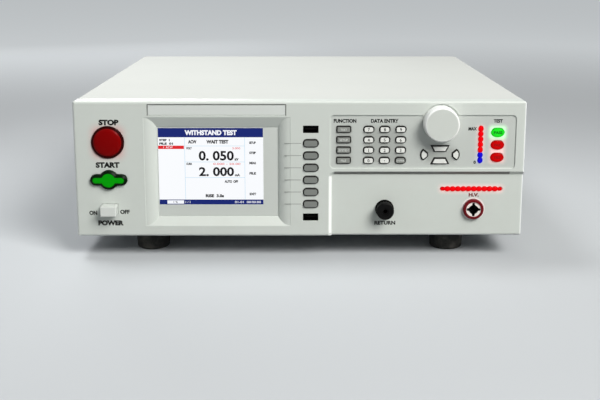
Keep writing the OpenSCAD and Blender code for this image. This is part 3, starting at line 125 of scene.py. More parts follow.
def shader_tree(name):
    """A new material with an empty tree and its Principled shader joined to the output."""
    material = bpy.data.materials.new(name)
    material.use_nodes = True
    tree = material.node_tree
    tree.nodes.clear()
    shader = tree.nodes.new("ShaderNodeBsdfPrincipled")
    output = tree.nodes.new("ShaderNodeOutputMaterial")
    tree.links.new(shader.outputs["BSDF"], output.inputs["Surface"])
    return material, tree, shader


print("helpers ready")

# %% Node helpers
def place(tree, kind, inputs=None, **settings):
    """Adds a shader node, sets its properties, and sets or joins its inputs."""
    made = tree.nodes.new("ShaderNode" + kind)
    for key, value in settings.items():
        setattr(made, key, value)
    for key, value in (inputs or {}).items():
        if isinstance(value, bpy.types.NodeSocket):
            tree.links.new(value, made.inputs[key])
        else:
            made.inputs[key].default_value = value
    return made


def maths(tree, operation, *values, **settings):
    """Adds a Math node on values or sockets, and returns its result's socket."""
    return place(tree, "Math", dict(enumerate(values)), operation=operation, **settings).outputs[0]


def new_group(name, inputs, outputs):
    """An empty node group with float sockets, and its input and output nodes."""
    group = bpy.data.node_groups.new(name, "ShaderNodeTree")
    for label, value in inputs.items():
        socket = group.interface.new_socket(label, in_out="INPUT", socket_type="NodeSocketFloat")
        socket.default_value = value
    for label in outputs:
        group.interface.new_socket(label, in_out="OUTPUT", socket_type="NodeSocketFloat")
    return group, group.nodes.new("NodeGroupInput"), group.nodes.new("NodeGroupOutput")


def use_group(tree, group, **values):
    """Places a node group in a material with its own values."""
    made = tree.nodes.new("ShaderNodeGroup")
    made.node_tree = group
    for key, value in values.items():
        made.inputs[key.replace("_", " ").capitalize()].default_value = value
    return made


def tint(tree, factor, first, second, mode="MIX"):
    """Mixes two colours, each a value or a socket, and returns the result's socket."""
    made = tree.nodes.new("ShaderNodeMix")
    made.data_type = "RGBA"
    made.blend_type = mode
    for index, value in ((0, factor), (6, first), (7, second)):
        if isinstance(value, bpy.types.NodeSocket):
            tree.links.new(value, made.inputs[index])
        else:
            made.inputs[index].default_value = value
    return made.outputs[2]


print("node helpers ready")

# %% [markdown]
# ## Studio
# The photograph's light comes from the upper right, in front: recesses are bright on their left and
# lower slopes and dark on their upper ones. One large soft lamp gives that, a weaker one fills the
# left, and the world adds an even level from all sides. The floor is a plain pale sheet that gives off a
# little light of its own far away, so that it runs into the background without a line.

# %% Floor
FLOOR_SIDE = 14.0
FLOOR_TONE, FLOOR_UNSEEN = srgb(198, 202, 205), srgb(140, 143, 145)
FAR_START, FAR_END, FAR_GLOW = 0.5, 2.4, (0.43, 0.45, 0.46, 1)


def seen_ray(tree):
    """One where the camera, a mirror or glass looks at the surface, and nought where it only sends light on."""
    path = place(tree, "LightPath").outputs
    either = maths(tree, "MAXIMUM", path["Is Camera Ray"], path["Is Glossy Ray"])
    return maths(tree, "MAXIMUM", either, path["Is Transmission Ray"])


pick()
bpy.ops.mesh.primitive_plane_add(size=FLOOR_SIDE, location=(0, 0, 0))
floor = bpy.context.object
floor.name = "floor"
floor_paper, tree, shader = shader_tree("floor_paper")
shown = seen_ray(tree)
tree.links.new(tint(tree, shown, FLOOR_UNSEEN, FLOOR_TONE), shader.inputs["Base Color"])
away = place(tree, "VectorMath", {0: place(tree, "TexCoord").outputs["Object"]}, operation="LENGTH")
far = place(tree, "MapRange", {"Value": away.outputs["Value"], "From Min": FAR_START, "From Max": FAR_END},
            interpolation_type="SMOOTHSTEP")
mask = maths(tree, "MULTIPLY", far.outputs[0], shown)
tree.links.new(tint(tree, mask, (0, 0, 0, 1), FAR_GLOW), shader.inputs["Emission Color"])
shader.inputs["Emission Strength"].default_value = 1.0
shader.inputs["Roughness"].default_value = 0.9
shader.inputs["Specular IOR Level"].default_value = 0.0
floor.data.materials.append(floor_paper)
floor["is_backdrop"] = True
print("floor", FLOOR_SIDE, "m square")

# %% Lamps and world
def soft_lamp(name, spot, target, side, power, colour, fan=180):
    """A square area lamp at a spot, turned to its target, its light held to a fan of so many degrees."""
    pick()
    bpy.ops.object.light_add(type="AREA", location=spot)
    lamp = bpy.context.object
    lamp.name = name
    lamp.data.size = side
    lamp.data.energy = power
    lamp.data.color = colour
    lamp.data.spread = math.radians(fan)
    lamp.rotation_euler = (Vector(target) - Vector(spot)).to_track_quat("-Z", "Y").to_euler()
    return lamp


soft_lamp("key_lamp", (1.42, -1.95, 1.95), (0, -0.15, 0.08), 1.5, 30, (1.0, 0.985, 0.96), fan=95)
soft_lamp("fill_lamp", (-1.5, -1.2, 0.9), (0, -0.1, 0.08), 1.4, 2.0, (0.94, 0.97, 1.0))
soft_lamp("top_lamp", (-0.6, 0.2, 1.6), (-0.17, -0.02, 0.15), 0.6, 1.5, (1.0, 1.0, 1.0), fan=60)
soft_lamp("back_lamp", (-0.8, 2.2, 0.9), (0, 0.2, 0.08), 1.2, 4.5, (1.0, 1.0, 1.0), fan=80)

WORLD_LIGHT, WORLD_SHOWN, CAMERA_DIM = 0.13, 0.8, 0.82
world = bpy.data.worlds.new("studio_air")
bpy.context.scene.world = world
world.use_nodes = True
sky = world.node_tree.nodes["Background"]
sky.inputs["Color"].default_value = srgb(226, 230, 233)
air = world.node_tree
level = place(air, "MapRange", {"Value": seen_ray(air), "To Min": WORLD_LIGHT, "To Max": WORLD_SHOWN})
direct = place(air, "LightPath").outputs["Is Camera Ray"]
dimmed = place(air, "MapRange", {"Value": direct, "To Min": 1.0, "To Max": CAMERA_DIM})
strength = maths(air, "MULTIPLY", level.outputs[0], dimmed.outputs[0])
air.links.new(strength, sky.inputs["Strength"])
bpy.context.scene.view_settings.view_transform = "Standard"

# %% [markdown]
# ## Shared surface effects
# Real plastic and paint are never one flat colour: there is a fine moulded grain, a slow change of
# tone over a hand's width, and a thin film of dust that is thicker low down. Each effect is built
# once as a node group with named inputs, and every finish below places it with its own values.

# %% Moulded grain
moulded_grain, gin, gout = new_group("moulded_grain", {"Scale": 900.0, "Mottle": 0.04}, ("Height", "Tone", "Gloss"))
where = place(moulded_grain, "TexCoord").outputs["Object"]
grain = place(moulded_grain, "TexNoise", {"Vector": where, "Scale": gin.outputs["Scale"], "Detail": 3.0})
slow = place(moulded_grain, "TexNoise", {"Vector": where, "Scale": 9.0, "Detail": 2.0})
centred = maths(moulded_grain, "SUBTRACT", slow.outputs["Fac"], 0.5)
swing = maths(moulded_grain, "MULTIPLY", centred, gin.outputs["Mottle"])
tone = maths(moulded_grain, "ADD", swing, 1.0)
blotch = place(moulded_grain, "TexNoise", {"Vector": where, "Scale": 38.0, "Detail": 4.0})
gloss = place(moulded_grain, "MapRange", {"Value": blotch.outputs["Fac"], "To Min": -0.05, "To Max": 0.05})
moulded_grain.links.new(grain.outputs["Fac"], gout.inputs["Height"])
moulded_grain.links.new(tone, gout.inputs["Tone"])
moulded_grain.links.new(gloss.outputs[0], gout.inputs["Gloss"])
print("group", moulded_grain.name, len(moulded_grain.nodes), "nodes")

# %% Dust film
dust_film, gin, gout = new_group("dust_film", {"Amount": 0.1, "Height": 0.1}, ("Mask",))
where = place(dust_film, "TexCoord").outputs["Object"]
level = place(dust_film, "SeparateXYZ", {0: where})
low = place(dust_film, "MapRange", {"Value": level.outputs["Z"], "From Min": 0.0, "From Max": gin.outputs["Height"],
                                    "To Min": 1.0, "To Max": 0.25})
cloud = place(dust_film, "TexNoise", {"Vector": where, "Scale": 55.0, "Detail": 6.0, "Roughness": 0.65})
clumps = place(dust_film, "MapRange", {"Value": cloud.outputs["Fac"], "From Min": 0.42, "From Max": 0.75})
film = maths(dust_film, "MULTIPLY", low.outputs[0], clumps.outputs[0])
mask = maths(dust_film, "MULTIPLY", film, gin.outputs["Amount"])
dust_film.links.new(mask, gout.inputs["Mask"])
print("group", dust_film.name, len(dust_film.nodes), "nodes")

# %% Depth step
# Some pieces change colour at a depth behind the control front, such as the painted shade on a key's skirt below its
# cap.
depth_step, gin, gout = new_group("depth_step", {"Depth": 0.0, "Blur": 0.0002}, ("Mask",))
where = place(depth_step, "TexCoord").outputs["Object"]
along = place(depth_step, "SeparateXYZ", {0: where})
behind = maths(depth_step, "SUBTRACT", along.outputs["Y"], gin.outputs["Depth"])
share = maths(depth_step, "DIVIDE", behind, gin.outputs["Blur"])
step = maths(depth_step, "ADD", share, 0.5, use_clamp=True)
depth_step.links.new(step, gout.inputs["Mask"])
print("group", depth_step.name, len(depth_step.nodes), "nodes")

# %% Brushed lines
brushed_lines, gin, gout = new_group("brushed_lines", {"Along": 4.0, "Across": 1200.0}, ("Height", "Tone"))
where = place(brushed_lines, "TexCoord").outputs["Object"]
stretch = place(brushed_lines, "CombineXYZ", {"X": gin.outputs["Along"], "Y": gin.outputs["Across"],
                                              "Z": gin.outputs["Across"]})
drawn = place(brushed_lines, "VectorMath", {0: where, 1: stretch.outputs[0]}, operation="MULTIPLY")
lines = place(brushed_lines, "TexNoise", {"Vector": drawn.outputs[0], "Scale": 1.0, "Detail": 3.0})
tone = place(brushed_lines, "MapRange", {"Value": lines.outputs["Fac"], "To Min": 0.88, "To Max": 1.1})
brushed_lines.links.new(lines.outputs["Fac"], gout.inputs["Height"])
brushed_lines.links.new(tone.outputs[0], gout.inputs["Tone"])
print("group", brushed_lines.name, len(brushed_lines.nodes), "nodes")

# %% Worn edges with a painted highlight
# Handled edges are rounder than the faces beside them, and here also a little brighter: partly rubbing, partly a
# painted highlight. The Bevel node looks at the
# faces near a point: where its normal turns away from the face's own, the point lies on an edge.
worn_and_highlit_edges, gin, gout = new_group("worn_and_highlit_edges", {"Radius": 0.0005, "Amount": 0.4}, ("Mask",))
worn_and_highlit_edges.interface.new_socket("Normal", in_out="OUTPUT", socket_type="NodeSocketVector")
rounded = place(worn_and_highlit_edges, "Bevel", {"Radius": gin.outputs["Radius"]}, samples=6)
flat = place(worn_and_highlit_edges, "NewGeometry").outputs["True Normal"]
turned_by = place(worn_and_highlit_edges, "VectorMath", {0: rounded.outputs["Normal"], 1: flat}, operation="DOT_PRODUCT")
edge = place(worn_and_highlit_edges, "MapRange", {"Value": turned_by.outputs["Value"], "From Min": 0.995, "From Max": 0.8})
where = place(worn_and_highlit_edges, "TexCoord").outputs["Object"]
rubbed = place(worn_and_highlit_edges, "TexNoise", {"Vector": where, "Scale": 70.0, "Detail": 5.0})
broken = place(worn_and_highlit_edges, "MapRange", {"Value": rubbed.outputs["Fac"], "From Min": 0.3, "From Max": 0.65})
worn_and_highlit = maths(worn_and_highlit_edges, "MULTIPLY", edge.outputs[0], broken.outputs[0])
mask = maths(worn_and_highlit_edges, "MULTIPLY", worn_and_highlit, gin.outputs["Amount"])
worn_and_highlit_edges.links.new(mask, gout.inputs["Mask"])
worn_and_highlit_edges.links.new(rounded.outputs["Normal"], gout.inputs["Normal"])
print("group", worn_and_highlit_edges.name, len(worn_and_highlit_edges.nodes), "nodes")

# %% Soft box
# A rounded patch on the control front that fades at its edge. It darkens the sunk key field, paints shade round the key
# blocks, in the steps and on the strip's seat, paints highlights on the front's edges and a red reflection round the
# stop button, and carries the glow that a lit lamp throws on the plastic round it.
soft_box, gin, gout = new_group("soft_box", {"X": 0.0, "Z": 0.0, "Half width": 0.01, "Half height": 0.01,
                                             "Fade": 0.004}, ("Mask", "Distance"))
where = place(soft_box, "TexCoord").outputs["Object"]
at = place(soft_box, "SeparateXYZ", {0: where})
squares = []
for axis, middle, half in (("X", "X", "Half width"), ("Z", "Z", "Half height")):
    offset = maths(soft_box, "SUBTRACT", at.outputs[axis], gin.outputs[middle])
    outside = maths(soft_box, "SUBTRACT", maths(soft_box, "ABSOLUTE", offset), gin.outputs[half])
    squares.append(maths(soft_box, "POWER", maths(soft_box, "MAXIMUM", outside, 0.0), 2.0))
distance = maths(soft_box, "SQRT", maths(soft_box, "ADD", *squares))
fall = maths(soft_box, "DIVIDE", distance, gin.outputs["Fade"])
near = maths(soft_box, "SUBTRACT", 1.0, fall, use_clamp=True)
soft_box.links.new(maths(soft_box, "POWER", near, 2.0), gout.inputs["Mask"])
soft_box.links.new(distance, gout.inputs["Distance"])
print("group", soft_box.name, len(soft_box.nodes), "nodes")

# %% [markdown]
# ## Finishes
# Most of what shows is moulded plastic or painted steel, and differs in colour, gloss and grain. One
# function builds such a finish from the shared groups. A key's skirt is the same finish with a painted
# shade behind a given depth, so that cap and skirt stay one moulding, as on the real key.

# %% Plastic and paint
DUST = srgb(176, 172, 160)
GRAIN_HEIGHT, MOTTLE = 0.00006, 0.06


def moulded(name, colour, roughness=0.45, scale=900.0, bump=0.25, dust=0.12, rim=None, gleam=0.5,
            edge=0.0, wear_and_highlight=0.5):
    """A plastic, rubber or paint finish. The rim is a painted shade, a second colour behind a depth, in millimetres,
    the gleam is the shader's specular level, the edge is the radius of rounded edges, in millimetres, and the last
    argument how much they are lightened, partly as rubbing and partly as a painted highlight."""
    material, tree, shader = shader_tree(name)
    grain = use_group(tree, moulded_grain, scale=scale, mottle=MOTTLE)
    base = tint(tree, 1.0, colour, grain.outputs["Tone"], "MULTIPLY")
    if rim:
        step = use_group(tree, depth_step, depth=FACE_Y + rim[0] * MM, blur=rim[2] * MM)
        base = tint(tree, step.outputs["Mask"], base, rim[1])
    film = use_group(tree, dust_film, amount=dust)
    base = tint(tree, film.outputs["Mask"], base, DUST)
    if edge:
        worn_and_highlit = use_group(tree, worn_and_highlit_edges, radius=edge * MM, amount=wear_and_highlight)
        # Edges are lightened, partly as rubbing and partly as a painted highlight.
        base = tint(tree, worn_and_highlit.outputs["Mask"], base, tuple(min(1.0, v * 1.25 + 0.03) for v in colour))
    tree.links.new(base, shader.inputs["Base Color"])
    shader.inputs["Specular IOR Level"].default_value = gleam
    tree.links.new(maths(tree, "ADD", grain.outputs["Gloss"], roughness), shader.inputs["Roughness"])
    relief = place(tree, "Bump", {"Height": grain.outputs["Height"], "Strength": bump, "Distance": GRAIN_HEIGHT})
    if edge:
        tree.links.new(worn_and_highlit.outputs["Normal"], relief.inputs["Normal"])
    tree.links.new(relief.outputs["Normal"], shader.inputs["Normal"])
    return material


# The rims below are painted shade behind a depth: on the key skirts, round the stop and start caps, and in the
# insulator's keyway.
KEY_SKIRT_SHADE = srgb(30, 29, 26)
finishes = {
    "cover_paint": moulded("cover_paint", srgb(206, 209, 205), 0.82, scale=1500, bump=0.22, edge=0.8, gleam=0.12),
    "rear_paint": moulded("rear_paint", srgb(206, 209, 205), 0.82, scale=1500, bump=0.22, edge=0.4, gleam=0.12),
    "foot_rubber": moulded("foot_rubber", srgb(40, 40, 38), 0.75, scale=1400, bump=0.5, dust=0.3, gleam=0.3),
    "board_green": moulded("board_green", srgb(28, 92, 58), 0.4),
    "mask_plastic": moulded("mask_plastic", srgb(203, 208, 203), 0.5, dust=0.05),
    "knob_plastic": moulded("knob_plastic", srgb(209, 214, 208), 0.36, bump=0.12, edge=1.0, wear_and_highlight=1.6),
    "power_white": moulded("power_white", srgb(218, 223, 218), 0.35, bump=0.12, edge=0.5),
    "stop_red": moulded("stop_red", srgb(127, 0, 1), 0.3, bump=0.08, dust=0.0, rim=(-1.62, srgb(44, 0, 0), 0.25),
                        gleam=0.07),
    "start_green": moulded("start_green", srgb(4, 160, 8), 0.34, bump=0.08, dust=0.0, rim=(-3.8, srgb(0, 22, 0), 0.3),
                           gleam=0.07),
    "softkey_grey": moulded("softkey_grey", srgb(126, 130, 126), 0.55, dust=0.03, rim=(-1.6, KEY_SKIRT_SHADE, 0.3),
                            gleam=0.35),
    "key_grey": moulded("key_grey", srgb(140, 143, 138), 0.55, dust=0.03, rim=(-0.5, KEY_SKIRT_SHADE, 0.3), gleam=0.35),
    "key_white": moulded("key_white", srgb(232, 234, 229), 0.5, dust=0.03, rim=(-0.6, KEY_SKIRT_SHADE, 0.3), gleam=0.35),
    "socket_black": moulded("socket_black", srgb(10, 10, 11), 0.45, dust=0.03, gleam=0.25),
    "arrow_white": moulded("arrow_white", srgb(232, 234, 229), 0.5, dust=0.03, rim=(-0.3, KEY_SKIRT_SHADE, 0.3), gleam=0.35),
    "usb_black": moulded("usb_black", srgb(3, 3, 3), 0.6, bump=0.1, dust=0.0, gleam=0.05),
    "terminal_black": moulded("terminal_black", srgb(2, 2, 2), 0.55, bump=0.1, dust=0.0, gleam=0.12),
    "hv_maroon": moulded("hv_maroon", srgb(108, 14, 24), 0.35, bump=0.08, dust=0.02, gleam=0.12),
    "insulator_white": moulded("insulator_white", srgb(242, 236, 230), 0.35, dust=0.02, rim=(-0.15, srgb(4, 3, 3), 0.2),
                               gleam=0.1),
    "core_iron": moulded("core_iron", srgb(52, 52, 56), 0.55),
    "winding_copper": moulded("winding_copper", srgb(150, 84, 40), 0.35),
}
print("moulded finishes", len(finishes))

# %% [markdown]
# ### Metals
# Plated steel and aluminium show the lines of the rolling mill or the brush. The lines are a noise
# stretched along one axis, which only changes the tone a little and tilts the normal.

# %% Metals
LINE_HEIGHT, LINES_ACROSS, LINE_BUMP = 0.00003, 900.0, 0.25


def metal(name, colour, roughness, along=6.0):
    """A bare or plated metal with drawn lines along X."""
    material, tree, shader = shader_tree(name)
    lines = use_group(tree, brushed_lines, along=along, across=LINES_ACROSS)
    base = tint(tree, 1.0, colour, lines.outputs["Tone"], "MULTIPLY")
    film = use_group(tree, dust_film, amount=0.08)
    tree.links.new(tint(tree, film.outputs["Mask"], base, DUST), shader.inputs["Base Color"])
    shader.inputs["Metallic"].default_value = 1.0
    uneven = maths(tree, "MULTIPLY_ADD", lines.outputs["Height"], 0.12, roughness - 0.06)
    tree.links.new(uneven, shader.inputs["Roughness"])
    relief = place(tree, "Bump", {"Height": lines.outputs["Height"], "Strength": LINE_BUMP, "Distance": LINE_HEIGHT})
    tree.links.new(relief.outputs["Normal"], shader.inputs["Normal"])
    return material


finishes.update({
    "plated_steel": metal("plated_steel", srgb(188, 190, 190), 0.38),
    "screw_steel": metal("screw_steel", srgb(176, 178, 180), 0.3, along=900.0),
    "stud_brass": metal("stud_brass", srgb(206, 172, 96), 0.28, along=900.0),
    "sink_aluminium": metal("sink_aluminium", srgb(198, 200, 203), 0.4),
})
print("finishes", len(finishes))

# %% [markdown]
# ### Lit lenses
# A lamp's lens is coloured plastic with a light behind it: brighter in the middle than at its rim.
# The colour is mixed along the depth of the dome, so the crown glows and the foot stays deeper.

# %% Lit lenses
def lens(name, colour, deep, strength, crown_mm, foot_mm):
    """A lit lens that glows at its crown and darkens towards its foot."""
    material, tree, shader = shader_tree(name)
    middle = (crown_mm + foot_mm) / 2
    step = use_group(tree, depth_step, depth=FACE_Y + middle * MM, blur=(foot_mm - crown_mm) * MM)
    shade = tint(tree, step.outputs["Mask"], colour, deep)
    grain = use_group(tree, moulded_grain, scale=2200.0, mottle=0.1)
    shade = tint(tree, 1.0, shade, grain.outputs["Tone"], "MULTIPLY")
    tree.links.new(tint(tree, 0.75, shade, (0, 0, 0, 1)), shader.inputs["Base Color"])
    tree.links.new(shade, shader.inputs["Emission Color"])
    shader.inputs["Emission Strength"].default_value = strength
    shader.inputs["Roughness"].default_value = 0.25
    shader.inputs["Specular IOR Level"].default_value = 0.03
    return material


finishes.update({
    "led_red": lens("led_red", srgb(246, 4, 16), srgb(196, 0, 6), 0.8, -0.5, 0.9),
    "led_red_row": lens("led_red_row", srgb(246, 8, 18), srgb(196, 0, 6), 0.8, 1.5, 2.9),
    "led_blue": lens("led_blue", srgb(24, 20, 216), srgb(6, 2, 160), 0.8, -0.5, 0.9),
    "lamp_green": lens("lamp_green", srgb(34, 236, 42), srgb(0, 160, 4), 0.8, -0.6, 0.9),
    "lamp_red": lens("lamp_red", srgb(206, 6, 8), srgb(150, 0, 0), 0.75, -0.6, 0.9),
})
print("lit lenses 5")

# %% [markdown]
# ### The control front's own plastic
# The bezel is one moulding, so it is one finish. The sunk key field is a shade darker. Painted shade lies round the key
# blocks, in the step above the output panel and on the name strip's seat, painted highlights run along the outer edges,
# the output panel's left edge and round the high-voltage socket, and a painted red reflection lies round the stop
# button. Where the lamps are lit the plastic round them takes a faint red, blue or green glow. More lamps could do
# this, but such fine light is noisy.

# %% Bezel plastic
HV_X, HV_Z = centre_of("hv_socket")
LAMP_X, LAMP_Z = centre_of("pass_lamp")
LEVEL_X, LEVEL_LOW = centre_of("blue_leds")
ROW_X, ROW_Z = centre_of("red_leds")[0], 46.4
STOP_X, STOP_Z = centre_of("stop_button")
KNOB_X, KNOB_Z = centre_of("knob")
HV_HIGHLIGHT_RING = (11.8, 10.8)
# A patch is its middle's x and z, its half width and half height, and its fade, in millimetres.
KEY_FIELD = (117.3, 92.8, 86.4, 23.8, 3.0)
# Painted shade round three key blocks, in the output step and on the strip's seat; painted highlights on three outer
# edges and the output panel's left edge; a painted red reflection round the stop button.
PAINTED_LIGHT_PATCHES = [  # three key blocks, the stop button's halo, three outer edges, two output edges, the strip's seat
    ((80.9, 89.8, 16.5, 15.5, 7.0), srgb(172, 176, 171)),
    ((41.9, 89.8, 6.0, 15.5, 6.0), srgb(178, 182, 177)),
    ((KNOB_X, 80.5, 11.0, 5.0, 8.0), srgb(174, 178, 173)),
    ((STOP_X, STOP_Z, 9.0, 9.0, 13.0), srgb(226, 152, 150)),
    ((-214.3, 66.0, 0.3, 64.0, 0.8), srgb(236, 240, 238)),
    ((214.3, 66.0, 0.3, 64.0, 0.8), srgb(240, 243, 243)),
    ((0.0, 0.7, 213.0, 0.2, 0.8), srgb(236, 240, 240)),
    ((117.2, 62.3, 83.6, 0.9, 1.6), srgb(112, 114, 110)),
    ((29.5, 31.0, 0.9, 28.0, 1.2), srgb(250, 252, 250)),
    ((-78.6, 128.7, 65.6, 0.3, 0.5), srgb(96, 99, 95)),
    ((-144.2, 123.4, 0.2, 5.2, 0.5), srgb(120, 123, 119)),
    ((-13.0, 123.4, 0.2, 5.2, 0.5), srgb(120, 123, 119)),
]
GLOWS = [
    ((LEVEL_X, 95.4, 0.5, 10.2, 6.5), (0.55, 0.16, 0.16, 1)),
    ((LEVEL_X, LEVEL_LOW, 0.5, 2.6, 6.0), (0.16, 0.17, 0.50, 1)),
    ((LAMP_X, LAMP_Z, 5.0, 3.4, 6.5), (0.36, 0.95, 0.40, 1)),
    ((LAMP_X, centre_of("fail_lamps")[1], 4.6, 8.8, 6.0), (0.55, 0.17, 0.17, 1)),
    ((ROW_X, ROW_Z, 27.5, 0.5, 7.0), (0.55, 0.15, 0.15, 1)),
]


def patch(tree, x, z, half_width, half_height, fade):
    """One soft patch on the control front, in millimetres from its lower middle."""
    made = use_group(tree, soft_box, half_width=half_width * MM, half_height=half_height * MM, fade=fade * MM)
    made.inputs["X"].default_value = x * MM
    made.inputs["Z"].default_value = BODY_Z + z * MM
    return made.outputs


def ring(tree, x, z, nought, one):
    """A mask round a point of the control front, nought at one radius and one at another, in millimetres."""
    away = patch(tree, x, z, 0.0, 0.0, 10.0)["Distance"]
    return place(tree, "MapRange", {"Value": away, "From Min": nought * MM, "From Max": one * MM}).outputs[0]


def opened(finish):
    """A finish's tree, its shader, and what feeds the shader's base colour."""
    tree = finishes[finish].node_tree
    shader = next(n for n in tree.nodes if n.type == "BSDF_PRINCIPLED")
    return tree, shader, shader.inputs["Base Color"].links[0].from_socket


finishes["bezel_plastic"] = moulded("bezel_plastic", srgb(208, 214, 208), 0.42, scale=1100, bump=0.2, edge=0.6,
                                    wear_and_highlight=1.0)
tree, shader, base = opened("bezel_plastic")
shaded = tint(tree, patch(tree, *KEY_FIELD)["Mask"], base, srgb(196, 201, 196))
# A pale ring round the high-voltage socket is a painted highlight.
shaded = tint(tree, ring(tree, HV_X, HV_Z, *HV_HIGHLIGHT_RING), shaded, srgb(250, 244, 242))
for spot, colour in PAINTED_LIGHT_PATCHES:
    shaded = tint(tree, patch(tree, *spot)["Mask"], shaded, colour)
tree.links.new(shaded, shader.inputs["Base Color"])
glow = (0, 0, 0, 1)
for spot, colour in GLOWS:
    glow = tint(tree, patch(tree, *spot)["Mask"], glow, colour, "ADD")
tree.links.new(glow, shader.inputs["Emission Color"])
shader.inputs["Emission Strength"].default_value = 1.0
print("bezel patches", len(PAINTED_LIGHT_PATCHES), "glows", len(GLOWS))

# %% [markdown]
# ### The start button's border
# A dark border runs inside the button's outline, a painted shade round the edge of the cap. It lies in the finish
# rather than on a second solid. The outline is a disc with two wings: a point is in the bright
# middle if it lies deep enough inside the disc or inside the wings.

# %% Start button's border
START_X, START_Z = centre_of("start_button")
SHADED_BORDER, BORDER_BLUR = 2.6, 0.0002
DISC, WINGS = (0.0, 9.2), (12.3, 5.2)
tree, shader, base = opened("start_green")
depths = []
for half_length, radius in (DISC, WINGS):
    shape = patch(tree, START_X, START_Z, half_length, 0.0, 10.0)
    depths.append(maths(tree, "SUBTRACT", (radius - SHADED_BORDER) * MM, shape["Distance"]))
inside = maths(tree, "MAXIMUM", *depths)
middle = place(tree, "MapRange", {"Value": inside, "From Min": -BORDER_BLUR, "From Max": BORDER_BLUR})
# The dark colour here is the painted shade of the border.
tree.links.new(tint(tree, middle.outputs[0], srgb(0, 20, 0), base), shader.inputs["Base Color"])
print("start border", SHADED_BORDER, "mm")

# %% [markdown]
# ### The knob's rim
# The knob's rim catches the light, so it carries a painted highlight paler than the face. Painting it by hand would be
# uneven: the distance from the knob's axis gives a clean ring that turns with the knob.

# %% Painted highlight on the knob's rim
KNOB_HIGHLIGHT_RIM = (14.4, 15.6)
tree, shader, base = opened("knob_plastic")
# The pale ring is a painted highlight.
pale = ring(tree, KNOB_X, KNOB_Z, *KNOB_HIGHLIGHT_RIM)
tree.links.new(tint(tree, pale, base, srgb(252, 253, 251)), shader.inputs["Base Color"])
print("knob rim", len(tree.nodes), "nodes")

# %% [markdown]
# ### The high-voltage keyway
# The insulator's star is cut deep and its inner edges are chamfered, so its middle looks dark as a whole.
# A dark disc and two dark arms follow the CAD star and hide the little light that reaches its walls.

# %% Keyway of the high-voltage socket
KEYWAY, HOLE = srgb(5, 4, 4), (4.7, 4.3)
ARM_LONG, ARM_SHORT, ARM_FADE = 6.2, 0.8, 0.6
tree, shader, base = opened("insulator_white")
shaded = tint(tree, ring(tree, HV_X, HV_Z, *HOLE), base, KEYWAY)
for halves in ((ARM_LONG, ARM_SHORT), (ARM_SHORT, ARM_LONG)):
    shaded = tint(tree, patch(tree, HV_X, HV_Z, *halves, ARM_FADE)["Mask"], shaded, KEYWAY)
tree.links.new(shaded, shader.inputs["Base Color"])
print("keyway shaded")

# %% [markdown]
# ### The lit glass
# The display's face is black glass in front of a white backlight, so its colour is all emission. A lamp
# behind a clear plate would be truer and much noisier. The same function gives each colour of the picture.

# %% Screen glass
def lit(name, colour):
    """A flat colour of the lit picture, behind smooth glass."""
    material, tree, shader = shader_tree(name)
    grain = use_group(tree, moulded_grain, scale=3000.0, mottle=0.03)
    shade = tint(tree, 1.0, colour, grain.outputs["Tone"], "MULTIPLY")
    tree.links.new(shade, shader.inputs["Emission Color"])
    shader.inputs["Emission Strength"].default_value = 1.0
    shader.inputs["Base Color"].default_value = (0.005, 0.005, 0.006, 1)
    shader.inputs["Roughness"].default_value = 0.2
    shader.inputs["Specular IOR Level"].default_value = 0.05
    return material


finishes["screen_white"] = lit("screen_white", srgb(249, 251, 254))
print("screen finish", finishes["screen_white"].name)

# %% [markdown]
# ## A finish for every CAD node
# Each solid of the frame keeps its shape and only gets a better finish. One table says which nodes share
# a finish, and the cell prints whatever the table forgot.

# %% Give every CAD node its finish
node_finish = {
    "bezel_plastic": ["front_bezel"],
    "cover_paint": ["top_cover"],
    "rear_paint": ["rear_panel"],
    "plated_steel": ["chassis_tray", "encoder", "remote_port", "return_washer"],
    "screw_steel": ["case_screws"],
    "foot_rubber": ["feet"],
    "board_green": ["panel_switches", "key_board", "main_board"],
    "mask_plastic": ["lcd_frame"],
    "screen_white": ["lcd_screen"],
    "knob_plastic": ["knob"],
    "stop_red": ["stop_button"],
    "start_green": ["start_button"],
    "power_white": ["power_button"],
    "softkey_grey": [f"softkey_{i}" for i in range(1, 7)],
    "key_grey": [f"function_key_{i}" for i in range(1, 5)] + ["enter_key"],
    "key_white": [f"digit_key_{i}" for i in range(10)] + ["point_key"],
    "arrow_white": [f"arrow_{way}" for way in ("up", "down", "left", "right")],
    "led_red": ["red_leds"],
    "led_blue": ["blue_leds"],
    "lamp_green": ["pass_lamp"],
    "lamp_red": ["fail_lamps"],
    "usb_black": ["usb_ports"],
    "socket_black": ["power_inlet", "fan_frame", "fan_rotor"],
    "terminal_black": ["return_post", "return_cap"],
    "hv_maroon": ["hv_socket"],
    "insulator_white": ["hv_insulator"],
    "stud_brass": ["earth_post"],
    "core_iron": ["transformer_core"],
    "winding_copper": ["transformer_winding"],
    "sink_aluminium": ["amplifier_heatsink"],
}
for finish, members in node_finish.items():
    for member in members:
        mesh = nodes[member].data
        mesh.materials.clear()
        mesh.materials.append(finishes[finish])
dressed = {member for members in node_finish.values() for member in members}
print("dressed nodes", len(dressed), "left over", sorted(set(nodes) - dressed))

# %% [markdown]
# ## Printed words
# The words on a control front are silk-screened ink: thin, sharp and flat. Blender's text object gives
# the outlines, an extrusion gives the ink its body, and the text is made a mesh before it is moved, so
# that its place ends up in the mesh as the export needs.

# %% Lettering helper
INK = 0.04


def settle(piece, spot, turn=math.pi / 2):
    """Turns a piece that was modelled facing up to face out at a spot, with its place in its mesh."""
    pick(piece)
    piece.rotation_euler = (turn, 0, 0)
    piece.location = spot
    bpy.ops.object.transform_apply(location=True, rotation=True, scale=True)
    return piece


